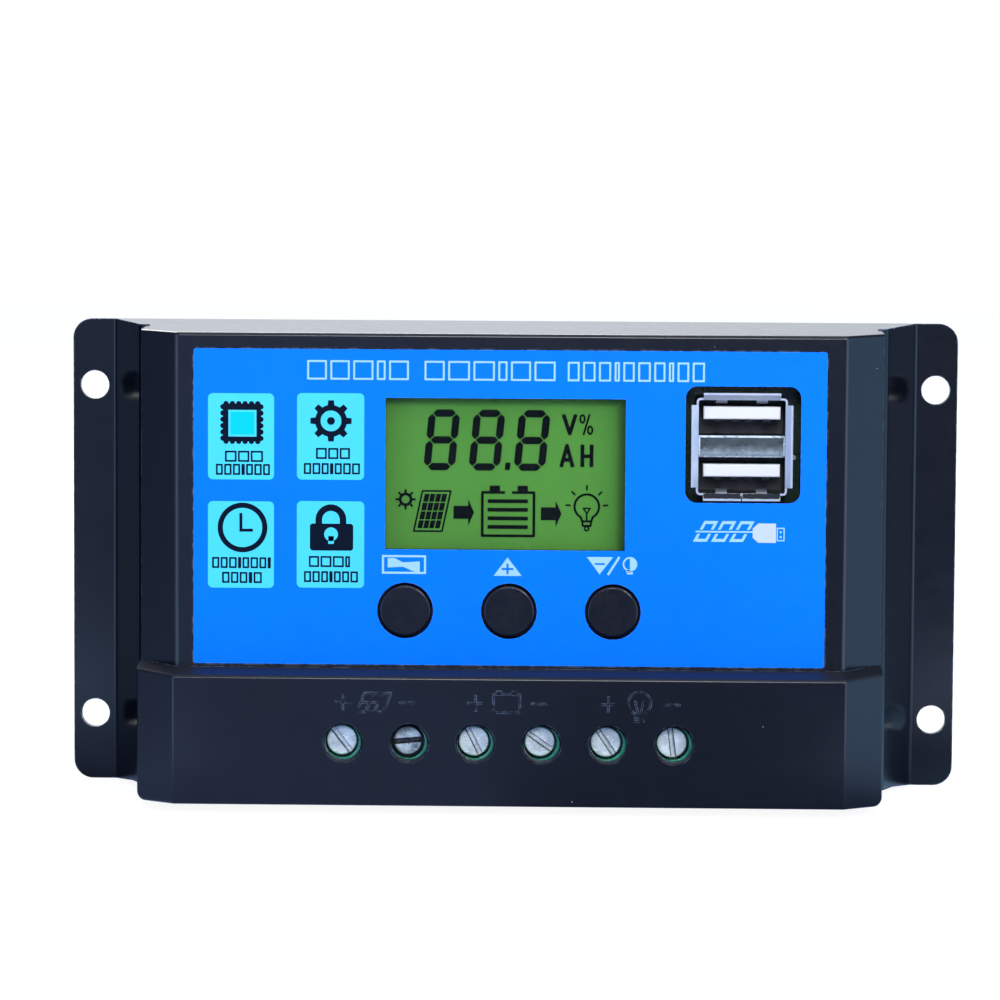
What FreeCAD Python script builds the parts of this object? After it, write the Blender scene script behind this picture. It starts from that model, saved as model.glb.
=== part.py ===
import FreeCAD
import Part
import math
import os

# Solar charge controller, wall-mounting type. Millimetres.
# Frame: X to the right, Y towards the wall, Z up. The back plane is Y = 0, and the origin is
# the centre of the four mounting holes on it. "Depth" d is the height in front of the back
# plane, so Y = -d. Every helper below takes (x, d, z).

# ---- driving dimensions: folded steel chassis -------------------------------------------
WIDTH = 133.5                  # across the ears
HEIGHT = 70.0                  # ears and end walls
HOLE_SPACING_X = 127.0
HOLE_SPACING_Z = 50.0
MOUNT_HOLE_R = 2.15
SHEET = 1.2
EAR_FOLD_X = 60.3              # front side of the fold between ear and sloping wall
CROWN_EDGE_X = 54.9            # front side of the fold between sloping wall and crown
CROWN_D = 15.5                 # front face of the crown plate
EAR_CORNER_R = 2.9
INNER_BEND_R = 0.6
WALL_TOP_Z = 34.6              # the sloping walls have the ears' height at the fold and
WALL_FOOT_Z = -33.4            # run to these heights at the crown
CROWN_TOP_Z = 32.2             # the crown stops inside the cover's end walls

# ---- driving dimensions: moulded front cover --------------------------------------------
COVER_X = 53.9                 # side walls
COVER_WALL = 2.0
UPPER_D = 28.9                 # upper face
UPPER_FACE_X = 48.3
UPPER_RIM_D = 23.9
LOWER_D = 35.0                 # prouder face over the terminals
LOWER_FACE_X = 48.2
LOWER_RIM_D = 30.0
LEDGE_Z = -14.5                # ledge between the faces, at the upper face
LEDGE_DROP = 0.5               # how far the ledge falls towards the front
DRAFT = 0.0376                 # end walls lean in by this per mm of depth
SKIRT_GAP = 0.25               # between the end walls and the sloping sheet
EDGE_R = 0.5
UPPER_EDGE_R = 1.2             # between the upper face and its facets
LOWER_CORNER_R = 1.3
EMBOSS = 0.2
SIGN_Z = -18.75                # moulded signs above the terminals
SIGN_PITCH = 19.0
SIGN_LINE = 0.28
PLUS_OFFSET = -4.75
MINUS_OFFSET = 4.4
WIRE_NOTCH_X = 3.6             # half the width of a wire entry

# ---- label, display and buttons -----------------------------------------------------------
LABEL_X = (-45.8, 45.4)
LABEL_Z = (-14.0, 31.6)
LABEL_T = 0.25
LABEL_RECESS = 0.3
WINDOW_X = (-18.1, 16.5)
WINDOW_Z = (2.75, 24.65)
GLASS_X = (-20.3, 18.7)
GLASS_Z = (0.2, 27.2)
GLASS_T = 1.1
BACKLIGHT_T = 3.2
SEGMENT_T = 0.04
DIGIT_X = (-12.25, -5.71, 0.83)
DIGIT_Z = (14.0, 22.85)
DIGIT_W = 3.5                  # between the middles of the upright bars
DIGIT_STROKE = 1.08
DIGIT_LEAN = 0.095
BUTTON_X = (-15.15, -0.15, 14.85)
BUTTON_Z = -6.1
BUTTON_NAMES = ("menu", "up", "down")
BUTTON_R = 3.72
BUTTON_HOLE_R = 4.05
BUTTON_TRAVEL = 0.3
SWITCH_HALF = 3.0
SWITCH_T = 3.4
PLUNGER_R = 1.7
PLUNGER_OUT = 1.2

# ---- USB sockets ---------------------------------------------------------------------------
USB_CUT_X = (25.1, 41.7)
USB_CUT_Z = (9.8, 26.6)
USB_CUT_R = 1.7
USB_X = 33.25                  # centre of both ports
USB_IN_X = 6.25                # half the inside width of a port
USB_TOP_Z = 24.6               # inside of the shell above the upper port
USB_BOTTOM_Z = 11.15
USB_PORT_H = 5.14
USB_SHEET = 0.3
USB_MOUTH_D = 28.0
TONGUE_W = 11.1
TONGUE_T = 1.85
TONGUE_DROP = 0.95             # from the roof of a port to its tongue
USB_CONTACTS_X = (-3.5, -1.0, 1.0, 3.5)
USB_LEGS_Z = (13.2, 22.6)
USB_LIP = 0.75                 # how far a lip rises and flares

# ---- boards and terminals ------------------------------------------------------------------
BOARD_T = 1.6
STANDOFF_H = 1.4
BOARD_X = 50.8
BOARD_Z = 31.5
POLES = 6
PITCH = 9.5
TERMINAL_Z = -24.6             # screw axes
TERMINAL_SHIFT = -0.3          # the blocks sit this far off the middle of the cover's holes
BLOCK_Z = (-31.5, -18.6)
BLOCK_D = 32.8
COVER_SCREW_HOLE_R = 2.6
CAGE_TRAVEL = 3.3
CAGE_W = 7.2
CAGE_SIDE = 0.9
CAGE_FLOOR = 0.8
CAGE_NUT = 1.7
CAGE_Z = (-28.0, -21.2)
WIRE_GAP = 3.4
BAR_T = 1.0
BAR_W = 4.6
BAR_LEG_Z = (-20.4, -19.4)     # leg of a current bar, and its pin through the board
LEDGE_T = 0.9
HEAD_R = 2.18
HEAD_T = 1.6
SHANK_R = 1.5
SLOT_W = 0.85
SLOT_DEEP = 0.75
# direction of each screwdriver slot, degrees above the X axis
SLOT_ANGLES = (-52, 5, -63, -35, -56, -83)

# ---- power transistors under the board ------------------------------------------------------
TRANSISTOR_T = 0.95
TRANSISTOR_PLACES = (-21.0, -7.0, 7.0, 21.0)
TRANSISTOR_Z = -11.5

# ---- case fixings --------------------------------------------------------------------------
POST_X = 46.2
POST_Z = 28.2
POST_R = 3.2
CASE_SCREW_R = 1.45
CASE_SCREW_LEN = 8.0
CASE_HEAD_R = 2.8
CASE_HEAD_T = 1.9
STANDOFF_X = 36.0
STANDOFF_TOP_Z = 28.4
STANDOFF_BOTTOM_Z = -26.5
STANDOFF_R = 2.7
BOARD_SCREW_R = 1.45
BOARD_HEAD_R = 2.6
BOARD_HEAD_T = 1.7

# ---- sizes of cutting tools ------------------------------------------------------------------
FAR_X = 70                     # past the object's sides
FAR_Z = 40                     # past its top and bottom

# ---- worked out from the above -------------------------------------------------------------
SLOPE = (EAR_FOLD_X - CROWN_EDGE_X) / (CROWN_D - SHEET)
SHEET_X = SHEET * math.sqrt(1 + SLOPE * SLOPE)     # sheet thickness measured along X
BOARD_BACK_D = CROWN_D + STANDOFF_H
BOARD_D = BOARD_BACK_D + BOARD_T                   # front face of the board
CAGE_D = BOARD_D + 0.3                             # underside of an open cage
BAR_D = CAGE_D + CAGE_FLOOR + WIRE_GAP             # back face of the current bar
NUT_D = BAR_D + BAR_T + 0.1
LEDGE_D = NUT_D + CAGE_NUT + CAGE_TRAVEL + 0.1     # underside of the ledge under the head
HEAD_D = LEDGE_D + LEDGE_T + 0.05
BLOCK_POLES = 2
MOUTH_D = (BOARD_D + 0.5, BAR_D + 0.35)
COVER_IN_D = UPPER_D - COVER_WALL
LOWER_IN_D = LOWER_D - COVER_WALL
GLASS_FRONT_D = COVER_IN_D - 0.3
REAR_GLASS_D = GLASS_FRONT_D - 2 * GLASS_T
SEG_D = (REAR_GLASS_D + GLASS_T, REAR_GLASS_D + GLASS_T + SEGMENT_T)
SWITCH_D = BOARD_D + SWITCH_T
PLUNGER_D = SWITCH_D + PLUNGER_OUT
PLUNGER_LOW_D = SWITCH_D - 0.6
CAP_TOP_D = UPPER_D + 0.15


# ---- helpers -------------------------------------------------------------------------------
def at(x, d, z):
    return FreeCAD.Vector(x, -d, z)


def block(xs, ds, zs):
    """Box between two x, two depths and two z."""
    corner = FreeCAD.Vector(xs[0], -ds[1], zs[0])
    return Part.makeBox(xs[1] - xs[0], ds[1] - ds[0], zs[1] - zs[0], corner)


def rod(x, z, r, d0, d1):
    """Cylinder that runs along the depth axis."""
    return Part.makeCylinder(r, d1 - d0, at(x, d0, z), FreeCAD.Vector(0, -1, 0))


def prism_z(points, z0, z1):
    """Outline of (x, d) points, extruded from z0 to z1."""
    ring = [at(x, d, z0) for x, d in points]
    face = Part.Face(Part.makePolygon(ring + ring[:1]))
    return face.extrude(FreeCAD.Vector(0, 0, z1 - z0))


def prism_x(points, x0, x1):
    """Outline of (d, z) points, extruded from x0 to x1."""
    ring = [at(x0, d, z) for d, z in points]
    face = Part.Face(Part.makePolygon(ring + ring[:1]))
    return face.extrude(FreeCAD.Vector(x1 - x0, 0, 0))


def prism_d(points, d0, d1):
    """Outline of (x, z) points, extruded from depth d0 to d1."""
    ring = [at(x, d0, z) for x, z in points]
    face = Part.Face(Part.makePolygon(ring + ring[:1]))
    return face.extrude(FreeCAD.Vector(0, -(d1 - d0), 0))


def round_edges(shape, r, chosen):
    """Fillet the edges for which chosen(edge) is true."""
    edges = [e for e in shape.Edges if chosen(e)]
    return shape.makeFillet(r, edges)


def along(edge, axis):
    """True for a straight edge that runs along axis 0, 1 or 2."""
    if edge.Curve.TypeId != "Part::GeomLine":
        return False
    direction = edge.Curve.Direction
    return abs((direction.x, direction.y, direction.z)[axis]) > 0.999


def rounded_block(xs, ds, zs, r):
    """Box with its four edges along the depth axis rounded."""
    return round_edges(block(xs, ds, zs), r, lambda e: along(e, 1))


def bar_2d(a, b, w, d0, d1):
    """Flat strip of width w from a to b, both (x, z)."""
    length = math.hypot(b[0] - a[0], b[1] - a[1])
    ux, uz = (b[0] - a[0]) / length, (b[1] - a[1]) / length
    nx, nz = -uz * w / 2, ux * w / 2
    outline = [(a[0] + nx, a[1] + nz), (b[0] + nx, b[1] + nz),
               (b[0] - nx, b[1] - nz), (a[0] - nx, a[1] - nz)]
    return prism_d(outline, d0, d1)


def tube(x, z, r_out, r_in, d0, d1):
    return rod(x, z, r_out, d0, d1).cut(rod(x, z, r_in, d0 - 1, d1 + 1))


def save(name, shape):
    shape.exportStep("parts/" + name + ".step")


def save_group(name, solids):
    save(name, Part.makeCompound(solids))


def corners(x, z):
    return [(sx * x, sz * z) for sx in (-1, 1) for sz in (-1, 1)]


def pole_x(i):
    return (i - (POLES - 1) / 2) * PITCH


def terminal_x(i):
    return pole_x(i) + TERMINAL_SHIFT


def case_screw_places():
    return corners(POST_X, POST_Z)


def standoff_places():
    return [(sx * STANDOFF_X, z) for sx in (-1, 1) for z in (STANDOFF_BOTTOM_Z, STANDOFF_TOP_Z)]


# ---- chassis -------------------------------------------------------------------------------
def wall_back_x(d):
    """Inner side of the sloping wall at depth d."""
    return EAR_FOLD_X - (d - SHEET) * SLOPE - SHEET_X


def chassis():
    back_d = CROWN_D - SHEET
    half = [(WIDTH / 2, 0), (WIDTH / 2, SHEET), (EAR_FOLD_X, SHEET), (CROWN_EDGE_X, CROWN_D)]
    inner = [(wall_back_x(back_d), back_d), (wall_back_x(0), 0)]
    ring = half + [(-x, d) for x, d in reversed(half)]
    ring += [(-x, d) for x, d in reversed(inner)] + inner
    sheet = prism_z(ring, -HEIGHT / 2, HEIGHT / 2)

    def fold(x, d):
        def chosen(e):
            p = e.Vertexes[0].Point
            return along(e, 2) and abs(abs(p.x) - x) < 0.01 and abs(-p.y - d) < 0.01
        return chosen
    sheet = round_edges(sheet, INNER_BEND_R, fold(EAR_FOLD_X, SHEET))
    sheet = round_edges(sheet, INNER_BEND_R + SHEET, fold(wall_back_x(0), 0))
    sheet = round_edges(sheet, INNER_BEND_R + SHEET, fold(CROWN_EDGE_X, CROWN_D))
    sheet = round_edges(sheet, INNER_BEND_R, fold(wall_back_x(back_d), back_d))
    # rounded ear corners
    sheet = round_edges(sheet, EAR_CORNER_R, lambda e: along(e, 1)
                        and abs(abs(e.Vertexes[0].Point.x) - WIDTH / 2) < 0.01)
    far = HEIGHT / 2 + 1
    for end, z in ((HEIGHT / 2, WALL_TOP_Z), (-HEIGHT / 2, WALL_FOOT_Z)):
        fall = (z - end) / (CROWN_D - SHEET)
        beyond = math.copysign(far, z)
        waste = [(0, end - fall * SHEET), (CROWN_D + 1, z + fall), (CROWN_D + 1, beyond), (0, beyond)]
        for side in (-1, 1):
            x0, x1 = sorted((side * (EAR_FOLD_X + 0.3), side * (CROWN_EDGE_X - 6)))
            sheet = sheet.cut(prism_x(waste, x0, x1))
    hollow = [(-wall_back_x(-1), -1), (wall_back_x(-1), -1),
              (wall_back_x(CROWN_D + 1), CROWN_D + 1), (-wall_back_x(CROWN_D + 1), CROWN_D + 1)]
    for z0, z1 in ((CROWN_TOP_Z, far), (-far, -CROWN_TOP_Z)):
        sheet = sheet.cut(prism_z(hollow, z0, z1))
    for x, z in corners(HOLE_SPACING_X / 2, HOLE_SPACING_Z / 2):
        sheet = sheet.cut(rod(x, z, MOUNT_HOLE_R, -1, SHEET + 1))
    for x, z in case_screw_places():
        sheet = sheet.cut(rod(x, z, CASE_SCREW_R + 0.15, 0, CROWN_D + 1))
    for x, z in standoff_places():
        sheet = sheet.cut(rod(x, z, STANDOFF_R - 0.7, 0, CROWN_D + 1))
    return sheet


# ---- front cover ---------------------------------------------------------------------------
def faceted(half_x, rim_d, face_x, face_d, back_d):
    """Section of the cover: side walls, 45 degree facets and the face."""
    return [(-half_x, back_d), (-half_x, rim_d), (-face_x, face_d),
            (face_x, face_d), (half_x, rim_d), (half_x, back_d)]


def inset(half_x, rim_d, face_x, face_d, back_d):
    """The same section, one wall thickness further in."""
    run, rise = half_x - face_x, face_d - rim_d
    line = rise * half_x + run * rim_d - COVER_WALL * math.hypot(run, rise)
    side = half_x - COVER_WALL
    top = face_d - COVER_WALL
    return faceted(side, (line - rise * side) / run, (line - run * top) / rise, top, back_d)


def end_wedge(shrink):
    """Space between the two leaning end walls."""
    near, far = -1.0, LOWER_D + 5
    z_near = HEIGHT / 2 - DRAFT * near - shrink
    z_far = HEIGHT / 2 - DRAFT * far - shrink
    return prism_x([(near, -z_near), (far, -z_far), (far, z_far), (near, z_near)], -FAR_X, FAR_X)


def lower_space(sink):
    """Everything below the ledge, or a wall thickness below it."""
    fall = LEDGE_DROP / (LOWER_D - UPPER_D)
    near, far = 10.0, LOWER_D + 2
    z_near = LEDGE_Z - sink - (near - UPPER_D) * fall
    z_far = LEDGE_Z - sink - (far - UPPER_D) * fall
    return prism_x([(near, z_near), (far, z_far), (far, -FAR_Z), (near, -FAR_Z)], -FAR_X, FAR_X)


def cover_outside():
    upper = prism_z(faceted(COVER_X, UPPER_RIM_D, UPPER_FACE_X, UPPER_D, CROWN_D), -FAR_Z, FAR_Z)
    lower = prism_z(faceted(COVER_X, LOWER_RIM_D, LOWER_FACE_X, LOWER_D, CROWN_D), -FAR_Z, FAR_Z)
    shell = upper.fuse(lower.common(lower_space(0))).common(end_wedge(0)).removeSplitter()
    # rounded corners beside the terminals, then small radii on every visible edge
    low = -HEIGHT / 2 + 3

    def side_corner(e):
        p, q = e.Vertexes[0].Point, e.Vertexes[1].Point
        return (p.z < low and q.z < low and abs(abs(p.x) - COVER_X) < 0.01
                and abs(abs(q.x) - COVER_X) < 0.01 and abs(p.y - q.y) > 1)
    shell = round_edges(shell, LOWER_CORNER_R, side_corner)

    def upper_upright(e):
        return along(e, 2) and e.Vertexes[0].Point.z + e.Vertexes[1].Point.z > 2 * LEDGE_Z

    shell = round_edges(shell, UPPER_EDGE_R, lambda e: upper_upright(e)
                        and abs(abs(e.Vertexes[0].Point.x) - UPPER_FACE_X) < 0.01
                        and abs(-e.Vertexes[0].Point.y - UPPER_D) < 0.01)

    def front_edge(e):
        ends = [v.Point for v in e.Vertexes]
        if len(ends) < 2 or min(-p.y for p in ends) < UPPER_RIM_D - 0.01:
            return False
        if upper_upright(e) and abs(abs(ends[0].x) - COVER_X) > 0.01:
            return False
        ledge_root = all(abs(-p.y - UPPER_D) < 0.01 and abs(p.z - LEDGE_Z) < 0.02 for p in ends)
        inner_corner = any(abs(p.z - LEDGE_Z) < 0.45 and -p.y < LOWER_RIM_D - 0.01 for p in ends)
        return not (ledge_root or inner_corner)
    return round_edges(shell, EDGE_R, front_edge)


def skirt():
    """End walls behind the crown: they reach back to the wall between the sloping sheets."""
    wide, narrow = wall_back_x(0) - SKIRT_GAP, wall_back_x(CROWN_D + 0.5) - SKIRT_GAP
    plate = prism_z([(-wide, 0), (wide, 0), (narrow, CROWN_D + 0.5), (-narrow, CROWN_D + 0.5)],
                    -FAR_Z, FAR_Z)
    return plate.common(end_wedge(0)).cut(end_wedge(COVER_WALL))


def cover_cavity():
    upper = prism_z(inset(COVER_X, UPPER_RIM_D, UPPER_FACE_X, UPPER_D, CROWN_D - 1), -FAR_Z, FAR_Z)
    lower = prism_z(inset(COVER_X, LOWER_RIM_D, LOWER_FACE_X, LOWER_D, CROWN_D - 1), -FAR_Z, FAR_Z)
    return upper.fuse(lower.common(lower_space(COVER_WALL))).common(end_wedge(COVER_WALL))


def sign_bar(a, b, w=SIGN_LINE):
    return bar_2d(a, b, w, LOWER_D - 0.3, LOWER_D + EMBOSS)


def minus_sign(x, z):
    half = 1.15
    return [sign_bar((x - half, z), (x + half, z))]


def plus_sign(x, z):
    half = 1.15
    return minus_sign(x, z) + [sign_bar((x, z - half), (x, z + half))]


def panel_sign(x, z):
    """Leaning solar panel: an outline with two rows of cells."""
    half, lean, high = 1.9, 0.55, 1.35
    bars = []
    for across in (-half, -half / 3, half / 3, half):
        bars.append(sign_bar((x + across - lean, z - high), (x + across + lean, z + high)))
    for k in (-1, 0, 1):
        shift = lean * k
        bars.append(sign_bar((x - half + shift, z + high * k), (x + half + shift, z + high * k)))
    return bars


def battery_sign(x, z):
    half, high, pole_x_off, pole_half, pole_w = 1.9, 1.3, 1.1, 0.4, 0.45
    ring = [(x - half, z - high), (x + half, z - high), (x + half, z + high), (x - half, z + high)]
    bars = [sign_bar(ring[k], ring[(k + 1) % len(ring)]) for k in range(len(ring))]
    for pole in (x - pole_x_off, x + pole_x_off):
        bars.append(sign_bar((pole - pole_half, z + high + 0.3), (pole + pole_half, z + high + 0.3),
                             pole_w))
    return bars


def bulb_sign(x, z):
    r, cap_half = 1.75, 0.7
    glass = tube(x, z + 0.2, r, r - SIGN_LINE, LOWER_D - 0.3, LOWER_D + EMBOSS)
    cap = [sign_bar((x - cap_half, cap_z), (x + cap_half, cap_z)) for cap_z in (z - 1.9, z - 2.4)]
    wire = [sign_bar((x + s * 0.6, z + 0.5), (x + s * 0.2, z - 1.2)) for s in (-1, 1)]
    return [glass] + cap + wire


def moulded_signs():
    """Raised signs above the terminals: panel, battery and load, each between + and -."""
    signs = []
    for k, symbol in ((-1, panel_sign), (0, battery_sign), (1, bulb_sign)):
        x = k * SIGN_PITCH
        signs += plus_sign(x + PLUS_OFFSET, SIGN_Z)
        signs += symbol(x - 0.3, SIGN_Z)
        signs += minus_sign(x + MINUS_OFFSET, SIGN_Z)
    return signs


def front_cover():
    cover = cover_outside().cut(cover_cavity()).fuse(skirt())
    cover = cover.removeSplitter()
    # hollow posts that the case screws cut into
    for x, z in case_screw_places():
        top = LOWER_IN_D if z < 0 else COVER_IN_D
        post = rod(x, z, POST_R, CROWN_D, top + 0.3)
        cover = cover.fuse(post).cut(rod(x, z, CASE_SCREW_R, CROWN_D - 1, CROWN_D + 9))
    # recess and openings of the upper face
    grow = 0.1
    cover = cover.cut(rounded_block((LABEL_X[0] - grow, LABEL_X[1] + grow),
                                    (UPPER_D - LABEL_RECESS, UPPER_D + 1),
                                    (LABEL_Z[0] - grow, LABEL_Z[1] + grow), 0.4))
    cover = cover.cut(block(WINDOW_X, (COVER_IN_D - 1, UPPER_D + 1), WINDOW_Z))
    cover = cover.cut(rounded_block(USB_CUT_X, (COVER_IN_D - 1, UPPER_D + 1), USB_CUT_Z, USB_CUT_R))
    for x in BUTTON_X:
        cover = cover.cut(rod(x, BUTTON_Z, BUTTON_HOLE_R, COVER_IN_D - 1, UPPER_D + 1))
    # screwdriver holes in the lower face, wire entries in the bottom wall
    for i in range(POLES):
        x = pole_x(i)
        cover = cover.cut(rod(x, TERMINAL_Z, COVER_SCREW_HOLE_R, LOWER_IN_D - 1, LOWER_D + 1))
        rim = Part.makeCone(COVER_SCREW_HOLE_R + 0.25, COVER_SCREW_HOLE_R, 0.25,
                            at(x, LOWER_D, TERMINAL_Z), FreeCAD.Vector(0, 1, 0))
        cover = cover.cut(rim)
        x = terminal_x(i)
        entry = block((x - WIRE_NOTCH_X, x + WIRE_NOTCH_X), (BOARD_D + 0.3, BAR_D + 0.6),
                      (-FAR_Z, BLOCK_Z[0] + 0.2))
        cover = cover.cut(round_edges(entry, 0.6, lambda e: along(e, 2)))
    for sign in moulded_signs():
        cover = cover.fuse(sign)
    return cover.removeSplitter()


# ---- label and display ---------------------------------------------------------------------
def face_label():
    d0 = UPPER_D - LABEL_RECESS
    film = rounded_block(LABEL_X, (d0, d0 + LABEL_T), LABEL_Z, 0.35)
    film = film.cut(block(WINDOW_X, (d0 - 1, d0 + 1), WINDOW_Z))
    film = film.cut(rounded_block(USB_CUT_X, (d0 - 1, d0 + 1), USB_CUT_Z, USB_CUT_R))
    for x in BUTTON_X:
        film = film.cut(rod(x, BUTTON_Z, BUTTON_HOLE_R, d0 - 1, d0 + 1))
    return film


def display_window():
    gap, thick, sink = 0.05, 0.9, 0.45
    front = UPPER_D - LABEL_RECESS - sink
    return block((WINDOW_X[0] + gap, WINDOW_X[1] - gap), (front - thick, front),
                 (WINDOW_Z[0] + gap, WINDOW_Z[1] - gap))


def lcd_front_glass():
    return block(GLASS_X, (GLASS_FRONT_D - GLASS_T + 0.05, GLASS_FRONT_D), GLASS_Z)


def lcd_rear_glass():
    # the rear plate is wider below, where the contacts clip on
    return block(GLASS_X, (REAR_GLASS_D, REAR_GLASS_D + GLASS_T), (GLASS_Z[0] - 1.2, GLASS_Z[1]))


def lcd_backlight():
    body = block((GLASS_X[0], GLASS_X[1]), (REAR_GLASS_D - BACKLIGHT_T, REAR_GLASS_D), GLASS_Z)
    for x in (GLASS_X[0] + 1.5, GLASS_X[1] - 1.5):
        for z in (GLASS_Z[0] + 1.5, GLASS_Z[1] - 1.5):
            body = body.fuse(rod(x, z, 1.0, BOARD_D, REAR_GLASS_D - BACKLIGHT_T + 0.5))
    return body.removeSplitter()


def lcd_pins():
    count, pitch, w = 14, 2.54, 0.5
    centre = (GLASS_X[0] + GLASS_X[1]) / 2
    z = GLASS_Z[0] - 1.3
    pins = []
    for k in range(count):
        x = centre + (k - (count - 1) / 2) * pitch
        pins.append(block((x - w / 2, x + w / 2), (BOARD_D - 0.9, REAR_GLASS_D + GLASS_T),
                          (z - 0.35, z)))
    return pins


# Seven-segment digits, unit marks and the row of symbols, on the inside of the front glass.
def slanted(points, lean, z0):
    return [(x + (z - z0) * lean, z) for x, z in points]


def seven_segment(x):
    """One digit with all of its bars lit, leaning to the right."""
    z0, z1 = DIGIT_Z
    mid = (z0 + z1) / 2
    x1 = x + DIGIT_W
    gap, bevel = 0.1, DIGIT_STROKE / 2
    bars = []
    for z in (z0 + bevel, mid, z1 - bevel):
        bars.append([(x + gap + bevel, z - bevel), (x1 - gap - bevel, z - bevel), (x1 - gap, z),
                     (x1 - gap - bevel, z + bevel), (x + gap + bevel, z + bevel), (x + gap, z)])
    for low, high in ((z0 + bevel, mid), (mid, z1 - bevel)):
        for xc in (x, x1):
            a, b = low + gap, high - gap
            bars.append([(xc, a), (xc + bevel, a + bevel), (xc + bevel, b - bevel), (xc, b),
                         (xc - bevel, b - bevel), (xc - bevel, a + bevel)])
    return [prism_d(slanted(p, DIGIT_LEAN, z0), *SEG_D) for p in bars]


def joined(shapes):
    return shapes[0].multiFuse(shapes[1:]).removeSplitter()


def stroke(a, b, w):
    return bar_2d(a, b, w, *SEG_D)


def line_mark(points, w, closed=False):
    """Strokes of width w through the points, with rounded corners."""
    stops = points + points[:1] if closed else points
    turns = points if closed else points[1:-1]
    strokes = [stroke(stops[k], stops[k + 1], w) for k in range(len(stops) - 1)]
    return joined(strokes + [rod(x, z, w / 2, *SEG_D) for x, z in turns])


def oval_mark(x, z, half_w, half_h, w):
    count = 12
    turns = [2 * math.pi * k / count for k in range(count)]
    return line_mark([(x + half_w * math.cos(t), z + half_h * math.sin(t)) for t in turns], w, True)


def rays(x, z, near, far, w, degrees):
    marks = []
    for angle in degrees:
        ux, uz = math.cos(math.radians(angle)), math.sin(math.radians(angle))
        marks.append(stroke((x + near * ux, z + near * uz), (x + far * ux, z + far * uz), w))
    return marks


def sun_mark(x, z):
    return [joined([tube(x, z, 1.0, 0.58, *SEG_D)] + rays(x, z, 0.9, 1.47, 0.32, range(0, 360, 45)))]


def panel_mark(x, z):
    """Leaning frame filled with small dark cells."""
    lean, wide, high, margin = 0.215, 4.1, 5.85, 0.42
    rows, cols, gap = 4, 4, 0.13
    frame = slanted([(x, z), (x + wide, z), (x + wide, z + high), (x, z + high)], lean, z)
    w = (wide - 2 * margin - (cols - 1) * gap) / cols
    h = (high - 2 * margin - (rows - 1) * gap) / rows
    marks = [line_mark(frame, 0.26, True)]
    for i in range(cols):
        for j in range(rows):
            a, b = x + margin + i * (w + gap), z + margin + j * (h + gap)
            cell = slanted([(a, b), (a + w, b), (a + w, b + h), (a, b + h)], lean, z)
            marks.append(prism_d(cell, *SEG_D))
    return marks


def arrow_mark(x, z):
    shaft, tip, thin, thick = 2.13, 3.0, 0.95, 1.95
    return [prism_d([(x, z - thin), (x + shaft, z - thin), (x + shaft, z - thick), (x + tip, z),
                     (x + shaft, z + thick), (x + shaft, z + thin), (x, z + thin)], *SEG_D)]


def battery_mark(x, z):
    """Outline open at the top between two poles, and four charge bars."""
    wide, high, w = 7.49, 6.3, 0.4
    pole_w, pole_h = 1.5, 1.0
    outline = line_mark([(x + 3.3, z + high), (x, z + high), (x, z), (x + wide, z),
                         (x + wide, z + high), (x + 4.3, z + high)], w)
    poles = [block((x + a, x + a + pole_w), SEG_D, (z + high, z + high + pole_h)) for a in (1.05, 5.1)]
    low, pitch, bar_h = 1.0, 1.25, 0.57
    bars = [block((x + 0.77, x + wide - 0.87), SEG_D, (z + low + k * pitch, z + low + k * pitch + bar_h))
            for k in range(4)]
    return [joined([outline] + poles)] + bars


def bulb_mark(x, z):
    w, r, neck, open_z = 0.33, 1.94, 0.64, 1.5
    edge = math.sqrt((r - w / 2) ** 2 - open_z ** 2)
    glass = tube(x, z, r, r - w, *SEG_D).cut(block((x - r, x + r), (0, CROWN_D * 2), (z - r, z - open_z)))
    sides = [line_mark([(x + s * edge, z - open_z + 0.1), (x + s * neck, z - 2.15)], w) for s in (-1, 1)]
    base = line_mark([(x - neck, z - 2.15), (x + neck, z - 2.15), (x + neck * 0.9, z - 2.8),
                      (x - neck * 0.9, z - 2.8)], 0.3, True)
    tip = tube(x, z - 3.2, 0.42, 0.17, *SEG_D)
    wire = line_mark([(x - 0.5, z - 0.25), (x + 0.5, z - 0.25), (x, z - 1.0)], 0.22, True)
    stem = stroke((x, z - 1.0), (x, z - 2.1), 0.24)
    return [joined([glass, base, tip, wire, stem] + sides)] + rays(x, z, 2.35, 3.12, 0.26,
                                                                   (4, 45, 90, 135, 176))


def unit_marks():
    """Volt, percent, ampere and hour marks beside the digits."""
    bold, thin = 0.56, 0.28
    volt = line_mark([(7.5, 22.25), (8.45, 19.5), (9.3, 22.25)], bold)
    percent = [oval_mark(10.27, 21.6, 0.32, 0.56, thin), oval_mark(11.39, 19.98, 0.32, 0.56, thin),
               stroke((10.42, 19.25), (11.3, 22.3), thin)]
    ampere = joined([line_mark([(7.22, 14.6), (8.06, 17.7), (8.92, 14.6)], bold),
                     stroke((7.5, 15.65), (8.65, 15.65), bold)])
    hour = joined([stroke((10.3, 14.62), (10.3, 17.89), bold), stroke((11.62, 14.62), (11.62, 17.89), bold),
                   stroke((10.3, 16.2), (11.62, 16.2), bold)])
    return [volt, ampere, hour] + percent


def lcd_segments():
    marks = []
    for x in DIGIT_X:
        marks += seven_segment(x)
    low, high = DIGIT_Z[0] + 0.1, DIGIT_Z[0] + 1.2
    point = [(-0.95, low), (-0.2, low), (-0.2, high), (-0.95, high)]
    marks.append(prism_d(slanted(point, DIGIT_LEAN, low), *SEG_D))
    marks += unit_marks()
    marks += sun_mark(-15.3, 9.75)
    marks += panel_mark(-14.1, 5.15)
    marks += arrow_mark(-8.34, 7.92)
    marks += battery_mark(-4.16, 4.55)
    marks += arrow_mark(4.34, 7.8)
    marks += bulb_mark(10.99, 8.88)
    return marks


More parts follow.
